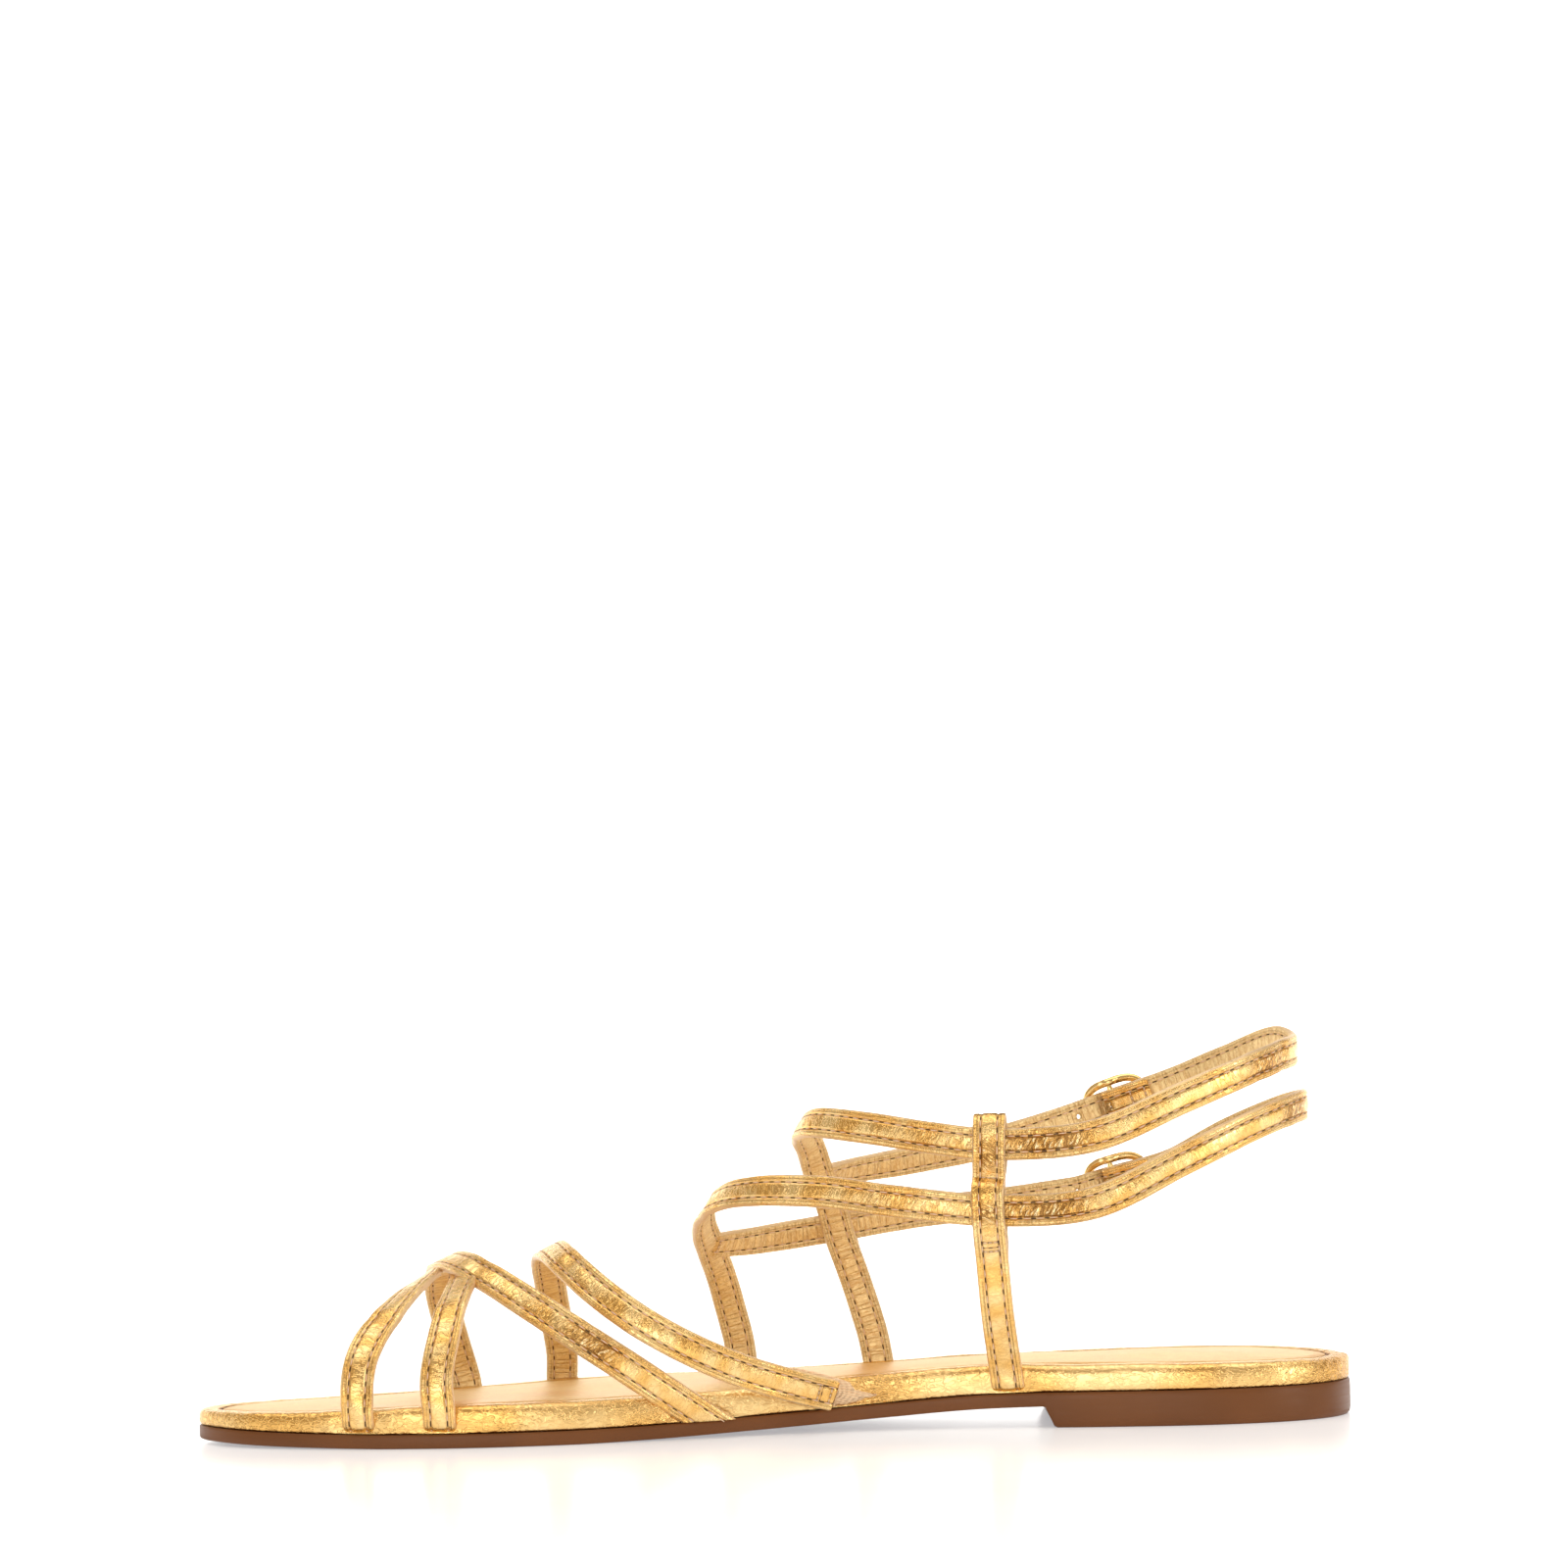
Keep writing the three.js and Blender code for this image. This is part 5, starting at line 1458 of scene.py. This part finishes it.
def level_at(name, s, length):
    """How wrinkled a strap is at a distance along it, from 0 to 1."""
    level = USUAL_WRINKLES
    for patch in CRACKLE:
        if patch["strap"] == name:
            level += (patch["amount"] - level) * bump(s - patch["at"] * length, patch["reach"])
    return level


def crease_at(name, s, across, length):
    """The height of the listed creases: a trough with a low ridge behind it."""
    height = 0.0
    for crease in CREASES:
        if crease["strap"] == name:
            x = s - crease["at"] * length - crease["slant"] * across
            height -= crease["depth"] * bump(x, crease["width"])
            height += crease["depth"] * 0.4 * bump(x - 2 * crease["width"], crease["width"])
    return height


def tack_rows(name, length):
    return [row["at"] % length for row in TACKS if row["strap"] == name]


print(len(strap_profile(STRAP_WIDTH, STRAP_THICKNESS)), "points round a section")

# %% [markdown]
# ## One strap
# The section is laid along the course, row by row, with its slack, wrinkles and creases. Where a hole is
# wanted, the grid is drawn round it, and then its middle is taken out and walled.

# %% One strap
# How far a strap's faces and edges wander, in millimetres
SLACK = 0.11
WRINKLE = 0.04
CRACKLE_WRINKLE = 0.20
EDGE_WANDER = 0.05


def make_strap(name, stops, width=STRAP_WIDTH, thickness=STRAP_THICKNESS, spacing=SECTION_SPACING,
               free=(True, True), holes=(), slots=(), trim=None):
    """A strap along its stops, punched at the points of holes, each with its radius, or along slots."""
    sections = walk(stops, spacing)
    length = sections[-1].along
    lined = with_round_ends(sections, free)
    profile = strap_profile(width, thickness)
    seed = sum(ord(letter) for letter in name) % 97
    groove = width / 2 - ROW_INSET
    tacks = tack_rows(name, length)
    punched = []
    for reach, points in ((0, holes), (round(SLOT_LENGTH / 3 / spacing), slots)):
        for point, radius in points:
            nearest = min(range(len(lined)), key=lambda i: (lined[i][0].point - point).length)
            punched.append((nearest, reach, radius))

    def lay(column, row):
        section, pinch = lined[row]
        across, high, inner = profile[column]
        side = 1 if high > 0 else -1
        s = section.along
        level = level_at(name, s, length)
        middle = max(0.0, 1 - (abs(across) / groove) ** 4)
        wave = SLACK * noise.noise(Vector((across * 0.16, s * 0.15, seed)))
        small = (WRINKLE + CRACKLE_WRINKLE * level) * middle
        wave += small * noise.noise(Vector((across * 0.5, s * 0.55, seed + 5 * inner)))
        uneven = noise.noise(Vector((s * 0.16, math.copysign(3, across), seed + 9)))
        across_now = across + side * EDGE_WANDER * uneven
        point = section.point + section.out * (high * (1 - 0.7 * pinch) + side * wave)
        point += section.out * crease_at(name, s, across, length)
        number = 0
        for i, (middle_row, reach, radius) in enumerate(punched):
            rows_off = row - middle_row
            columns_off = round(across / (groove * 0.35))
            if abs(rows_off) > reach + 1 or abs(columns_off) > 1 or abs(high) < thickness / 4:
                continue
            if abs(rows_off) <= reach and columns_off == 0:
                number = i + 1
            corner = 0.71 if columns_off and rows_off and not reach else 1.0
            across_now = columns_off * radius * corner
            if not reach:
                point += section.tangent * (rows_off * (radius * corner - spacing))
        point += section.wide * across_now * (1 - 0.13 * pinch)
        values = {
            "across": across_now, "along": s, "inner": inner, "crackle": level, "punch": number,
            "tack": min((s - at for at in tacks), key=abs, default=9.0),
        }
        return point, values

    piece = grid_piece(name, len(profile) - 1, len(lined) - 1, lay, trim=trim)
    return piece, sections

# %% [markdown]
# ## All the straps
# The straps replace the plain solids. The crossing strap's inner end is cut along the slope of the sole, as
# in the photograph, so it is made too long and trimmed by a plane.

# %% All the straps
runs = {}


def add_strap(name, material, node, stops, width=STRAP_WIDTH, thickness=STRAP_THICKNESS, **more):
    piece, sections = make_strap(name, stops, width, thickness, **more)
    runs[name] = (sections, width, thickness)
    dress(piece, material, "foil_leather", node)


for toe, table in (("first_toe", FIRST_TOE_STRAP), ("second_toe", SECOND_TOE_STRAP)):
    add_strap(f"strap_{toe}", STRAP_LEATHER, "toe_straps", [*footing(toe), *course(table)])
crossing_stops = course(CROSSING_STRAP)
low, above = crossing_stops[:2]
crossing_foot = low._replace(point=low.point * 3 - above.point * 2)
foot_share = CROSSING_STRAP[0]["along"]
on_sole = Vector((low.point.x, low.point.y, sole_top(foot_share) + 0.05))
sole_slope = (sole_top(foot_share + 0.01) - sole_top(foot_share - 0.01)) / (0.02 * SHOE_LENGTH)
sole_normal = Vector((-sole_slope, 0, 1))
add_strap(
    "strap_crossing", STRAP_LEATHER, "toe_straps",
    [crossing_foot, *crossing_stops, *back(footing("crossing_outer"))], free=(False, True),
    trim=(on_sole, sole_normal))
add_strap(
    "strap_instep", STRAP_LEATHER, "instep_strap", [*course(INSTEP_STRAP), *back(footing("instep_outer"))])
ankle = {"width": ANKLE_STRAP_WIDTH}
thin = {"width": ANKLE_STRAP_WIDTH - 0.2, "thickness": LAYER_THICKNESS, "spacing": THIN_SPACING}
for level, buckle, main, holed, fold in (
    ("lower", lower_buckle, lower_main, lower_holed, lower_fold),
    ("upper", upper_buckle, upper_main, upper_holed, upper_fold),
):
    node = f"ankle_strap_{level}"
    prong_hole = (buckle.at(PRONG_RADIUS * 2.7, HOLED_OVER_BAR), PRONG_RADIUS * 1.1)
    spare_hole = (buckle.at(HOLE_PITCH, HOLED_AT_RING), HOLE_RADIUS * 0.65)
    fold_slot = (buckle.at(FOLD_RADIUS, 0), PRONG_RADIUS + GAP)
    add_strap(f"strap_{level}_main", ANKLE_LEATHER, node, main, **ankle)
    add_strap(
        f"strap_{level}_holed", ANKLE_LEATHER, node, holed, thickness=HOLED_THICKNESS,
        holes=(prong_hole, spare_hole), **ankle)
    add_strap(f"strap_{level}_fold", ANKLE_LEATHER, node, fold, slots=(fold_slot,), **thin)
add_strap("strap_loop", ANKLE_LEATHER, "ankle_strap_upper", loop_course(upper_main), **thin)
add_strap(
    "strap_keeper_outer", STRAP_LEATHER, "keeper_strap", keeper_outer, thickness=LAYER_THICKNESS,
    free=(True, False))
add_strap(
    "strap_keeper_inner", STRAP_LEATHER, "keeper_strap", keeper_inner, thickness=LAYER_THICKNESS,
    free=(False, True))

elastic, _ = make_strap("elastic_band", elastic_course, ELASTIC_WIDTH, ELASTIC_THICKNESS)
dress(elastic, ELASTIC_WEAVE, "elastic", "elastic_gusset")

# %% [markdown]
# ## Stitches
# Each stitch is a short piece of thread that sinks into the groove at both ends. There are hundreds, so each
# is a small stretched ball of few faces. Painted stitches would look flat at the edges of a strap.

# %% Stitches
def add_stitch(bm, point, along, up, length=THREAD_LENGTH):
    """One stitch: a small stretched ball that lies along the strap."""
    along = along.normalized()
    side = along.cross(up).normalized()
    up = side.cross(along)
    turned = Matrix((along, side, up)).transposed().to_4x4()
    size = Matrix.Diagonal((length / 2 * MM, THREAD_RADIUS * MM, THREAD_RADIUS * MM, 1))
    place_there = Matrix.Translation(point * MM) @ turned @ size
    bmesh.ops.create_uvsphere(bm, u_segments=6, v_segments=4, radius=1, matrix=place_there)


def between_sections(run, s):
    """The frame of a strap at any distance along it, from its evenly spaced sections."""
    position = s / (run[1].along - run[0].along)
    i = min(int(position), len(run) - 2)
    a, b = run[i], run[i + 1]
    share = position - i
    wide, out = a.wide.lerp(b.wide, share), a.out.lerp(b.out, share)
    return Section(a.point.lerp(b.point, share), b.point - a.point, wide, out, s)


# The crossing strap's inner end is cut off on the sole somewhere in its first millimetres
CROSSING_FOOT_REACH = 30
KEEPER_FOLD_HEIGHT = place({**KEEPER_STRAP[-1], "up": KEEPER_TOP}).z - 1.6


def stitch_strap(name, run, width, thickness):
    """Both rows of stitches on both faces of a strap, and its cross rows."""
    groove = width / 2 - ROW_INSET
    length = run[-1].along
    bm = bmesh.new()
    high = thickness / 2 - GROOVE_DEPTH + THREAD_RADIUS * 0.8
    for n in range(int(length / STITCH_PITCH)):
        here = between_sections(run, (n + 0.5) * STITCH_PITCH)
        if "keeper" in name and here.point.z > KEEPER_FOLD_HEIGHT:
            continue
        lift = crease_at(name, here.along, 0, length)
        for side in (-1, 1):
            for face in (-1, 1):
                point = here.point + here.wide * side * groove + here.out * (face * high + lift)
                at_foot = name == "strap_crossing" and n * STITCH_PITCH < CROSSING_FOOT_REACH
                cut_off = at_foot and point.z < on_sole.z + 0.3
                if not cut_off:
                    add_stitch(bm, point, here.tangent, here.out)
    for s in tack_rows(name, length):
        here = between_sections(run, s)
        for n in (-1, 0, 1):
            for face in (-1, 1):
                aside = here.wide * n * TACK_PITCH / 2 * 1.3
                point = here.point + aside + here.out * face * (thickness / 2 + 0.05)
                add_stitch(bm, point, here.wide, here.out, TACK_PITCH * 0.55)
    piece = finished(name.replace("strap", "stitches"), bm)
    dress(piece, THREAD, "elastic")


for name, (run, width, thickness) in runs.items():
    stitch_strap(name, run, width, thickness)

# %% [markdown]
# ## Wire
# Ring, bar and prong are round wire. Each is a grid that is wrapped round a smooth path, as a wire is bent
# along it, and its ends are tapered. A curve object with a bevel would look alike, but it would have to be
# turned into a mesh.

# %% Wire
def wire_piece(name, points, radius, steps, joined, sides=14):
    """A round wire through points."""
    if joined:
        points = [*points, *points[:1]]
    path = smooth_path(points, True)
    centres = [path(i / steps) for i in range(steps + 1)]
    if joined:
        middle = sum(centres[:-1], Vector()) / steps
        normal = (centres[0] - middle).cross(centres[steps // 4] - middle).normalized()
    else:
        ends = centres[-1] - centres[0]
        normal = ends.cross(centres[steps // 3] - centres[0])
        normal = (normal if normal.length > 1e-6 else ends.orthogonal()).normalized()

    def lay(column, row):
        before, after = centres[max(row - 1, 0)], centres[min(row + 1, steps)]
        if joined and row in (0, steps):
            before, after = centres[steps - 1], centres[1]
        run = (after - before).normalized()
        first_axis = run.cross(normal).normalized()
        second_axis = run.cross(first_axis).normalized()
        angle = 2 * math.pi * column / sides
        taper = 1.0 if joined else min(1.0, 0.45 + 0.55 * min(row, steps - row) / 2)
        reach = first_axis * math.cos(angle) + second_axis * math.sin(angle)
        return centres[row] + reach * radius * taper, {"around": angle}

    return grid_piece(name, sides, steps, lay)

# %% [markdown]
# ## Buckles
# A buckle is an oval wire ring arched up from its bar. The prong hooks round the bar, comes up through the
# holed strap and rests on the ring. All its points are given in the buckle's own frame.

# %% Buckles
for level, buckle in (("lower", lower_buckle), ("upper", upper_buckle)):
    points = []
    for i in range(40):
        angle = 2 * math.pi * i / 40
        c, s = math.cos(angle), math.sin(angle)
        forward = math.copysign(abs(c) ** BUCKLE_ROUNDNESS, c)
        sideways = math.copysign(abs(s) ** BUCKLE_ROUNDNESS, s)
        rise = BUCKLE_RISE * math.sqrt(abs(forward))
        points.append(buckle.at(HALF_LENGTH * forward, rise, HALF_BAR * sideways))
    ring = wire_piece(f"ring_{level}", points, BUCKLE_WIRE_RADIUS, 96, True)
    dress(ring, BUCKLE_GOLD, "buckle_metal", f"buckle_{level}")
    bar_points = [buckle.at(0, 0, HALF_BAR * share) for share in (-1, -0.5, 0, 0.5, 1)]
    bar = wire_piece(f"bar_{level}", bar_points, BAR_RADIUS, 12, False)
    dress(bar, BUCKLE_GOLD, "buckle_metal", f"buckle_{level}")
    hook = BAR_RADIUS + GAP + PRONG_RADIUS
    rest = BUCKLE_RISE + BUCKLE_WIRE_RADIUS + GAP + PRONG_RADIUS
    prong_points = []
    for degrees in (-70, -120, -170, -220, -265):
        angle = math.radians(degrees)
        prong_points.append(buckle.at(hook * math.cos(angle), hook * math.sin(angle)))
    prong_points += [
        buckle.at(PRONG_RADIUS * 2, HOLED_OVER_BAR - HOLED_THICKNESS * 0.6),
        buckle.at(PRONG_RADIUS * 3.4, HOLED_OVER_BAR + HOLED_THICKNESS * 0.3),
        buckle.at(PRONG_RADIUS * 6, rest),
        buckle.at(HALF_LENGTH + BUCKLE_WIRE_RADIUS, rest),
    ]
    prong = wire_piece(f"tongue_{level}", prong_points, PRONG_RADIUS, 48, False, 10)
    dress(prong, BUCKLE_GOLD, "buckle_metal", f"prong_{level}")

# %% [markdown]
# ## Camera
# The camera looks at the inner side of the shoe from 3.5 degrees above the floor, 1.4 metres away, with the
# heel's side of the picture turned up a little. It turns in small steps until the aim point is on its pixel.

# %% Camera
CAMERA_DISTANCE = 1400
CAMERA_RISE = math.radians(3.5)
CAMERA_ROLL = math.radians(1.38)
PICTURE = 1600
FOCAL = 4.672 * CAMERA_DISTANCE
AIM = Vector((0, MIDDLE_SHIFT, 40))
AIM_PIXEL = (788.2, 1266.5)


def camera_matrix():
    """The camera's place and turn, with the aim point at its pixel of the picture."""
    away = Vector((0, math.cos(CAMERA_RISE), math.sin(CAMERA_RISE)))
    right = (-away).cross(Vector((0, 0, 1))).normalized()
    up = right.cross(-away)
    level = Matrix((right, up, away)).transposed()
    turned = level @ Matrix.Rotation(-CAMERA_ROLL, 3, "Z")
    spot_at = AIM + away * CAMERA_DISTANCE
    for _ in range(20):
        seen = turned.transposed() @ (AIM - spot_at)
        u, v = FOCAL * seen.x / -seen.z, -FOCAL * seen.y / -seen.z
        pitch = (AIM_PIXEL[1] - PICTURE / 2 - v) / FOCAL
        pan = (AIM_PIXEL[0] - PICTURE / 2 - u) / FOCAL
        turned = turned @ Matrix.Rotation(pitch, 3, "X") @ Matrix.Rotation(pan, 3, "Y")
    return Matrix.Translation(spot_at * MM) @ turned.to_4x4()


lens = bpy.data.cameras.new("camera")
lens.sensor_width = 36
lens.lens = FOCAL / PICTURE * 36
lens.clip_start = 0.01
lens.clip_end = 50
camera = bpy.data.objects.new("camera", lens)
camera.matrix_world = camera_matrix()
bpy.context.scene.collection.objects.link(camera)
bpy.context.scene.camera = camera
print("lens", round(lens.lens, 1), "mm")

# %% [markdown]
# ## Lights
# Large soft lights stand over and beside the shoe. Foil shows what it reflects, so its dark and light bands
# come from the gaps between the lights. The world is a little warm, which keeps the darker foil golden.

# %% Lights
def soft_light(name, at, target, size, power, colour=(1, 1, 1)):
    """A square area light that faces the target."""
    data = bpy.data.lights.new(name, "AREA")
    data.shape = "RECTANGLE"
    data.size, data.size_y = size
    data.energy = power
    data.color = colour
    light = bpy.data.objects.new(name, data)
    light.location = at
    light.rotation_euler = (Vector(target) - Vector(at)).to_track_quat("-Z", "Y").to_euler()
    bpy.context.scene.collection.objects.link(light)


soft_light("top", (0.0, -0.05, 0.95), (0, 0, 0.03), (1.6, 0.9), 6.3)
soft_light("front", (0.30, 1.75, 0.42), (0, 0, 0.04), (1.3, 0.7), 6.1)
soft_light("heel_side", (-1.25, 0.75, 0.35), (-0.1, 0, 0.05), (0.35, 0.7), 3.4)

world = bpy.data.worlds.new("studio")
world.use_nodes = True
world.node_tree.nodes["Background"].inputs["Color"].default_value = (1, 0.86, 0.70, 1)
world.node_tree.nodes["Background"].inputs["Strength"].default_value = 0.52
bpy.context.scene.world = world
bpy.context.scene.view_settings.view_transform = "Standard"
print(len(bpy.data.lights), "lights")

# %% [markdown]
# ## Floor
# The floor is pale and runs up into a pale wall without a corner. It glows a little, less close to the shoe,
# so that a soft grey reflection stays there as in the photograph.

# %% Floor
# In metres; the wall starts behind the shoe and bends up
FLOOR_AHEAD = 14
FLOOR_BEHIND = 3.4
FLOOR_HALF_WIDTH = 9
WALL_START = 1.6
WALL_BEND = 1.2
WALL_STEEPNESS = 0.98
bm = bmesh.new()
bmesh.ops.create_grid(bm, x_segments=8, y_segments=40, size=1)
for vert in bm.verts:
    way = vert.co.y * (FLOOR_BEHIND if vert.co.y < 0 else FLOOR_AHEAD)
    past_start = max(0.0, -way - WALL_START)
    bend = min(past_start, WALL_BEND)
    up_wall = max(0.0, past_start - WALL_BEND)
    rise = bend * bend / (2 * WALL_BEND)
    vert.co = (vert.co.x * FLOOR_HALF_WIDTH, way + rise + up_wall * WALL_STEEPNESS, rise + up_wall)
floor_mesh = bpy.data.meshes.new("studio_floor")
for face in bm.faces:
    face.smooth = True
bm.to_mesh(floor_mesh)
bm.free()
floor = bpy.data.objects.new("studio_floor", floor_mesh)
bpy.context.scene.collection.objects.link(floor)
floor_material, floor_shader, floor_first = new_material("studio_white")
paper = noise_at(spot(floor_first), 30.0, 2.0)
away = spot(floor_first).node("ShaderNodeVectorMath", 1, {"operation": "LENGTH"}, i0=spot(floor_first))
# Painted light: the floor glows instead of being lit; the glow is weaker and slightly bluish within 0.16 m of
# the shoe's middle, rising to full by 0.6 m, which greys the floor round the shoe as painted shade
feed(
    floor_shader, floor_first, Base_Color=paper.mix((0.88, 0.88, 0.88, 1), (0.90, 0.90, 0.90, 1)),
    Roughness=0.16 + paper * 0.04, Specular_IOR_Level=0.3,
    Emission_Color=away.ramp(0.16, 0.6).mix((0.315, 0.335, 0.355, 1), (0.95, 0.95, 0.95, 1)),
    Emission_Strength=1.0)
floor_mesh.materials.append(floor_material)
print("floor", len(floor_mesh.polygons), "faces")
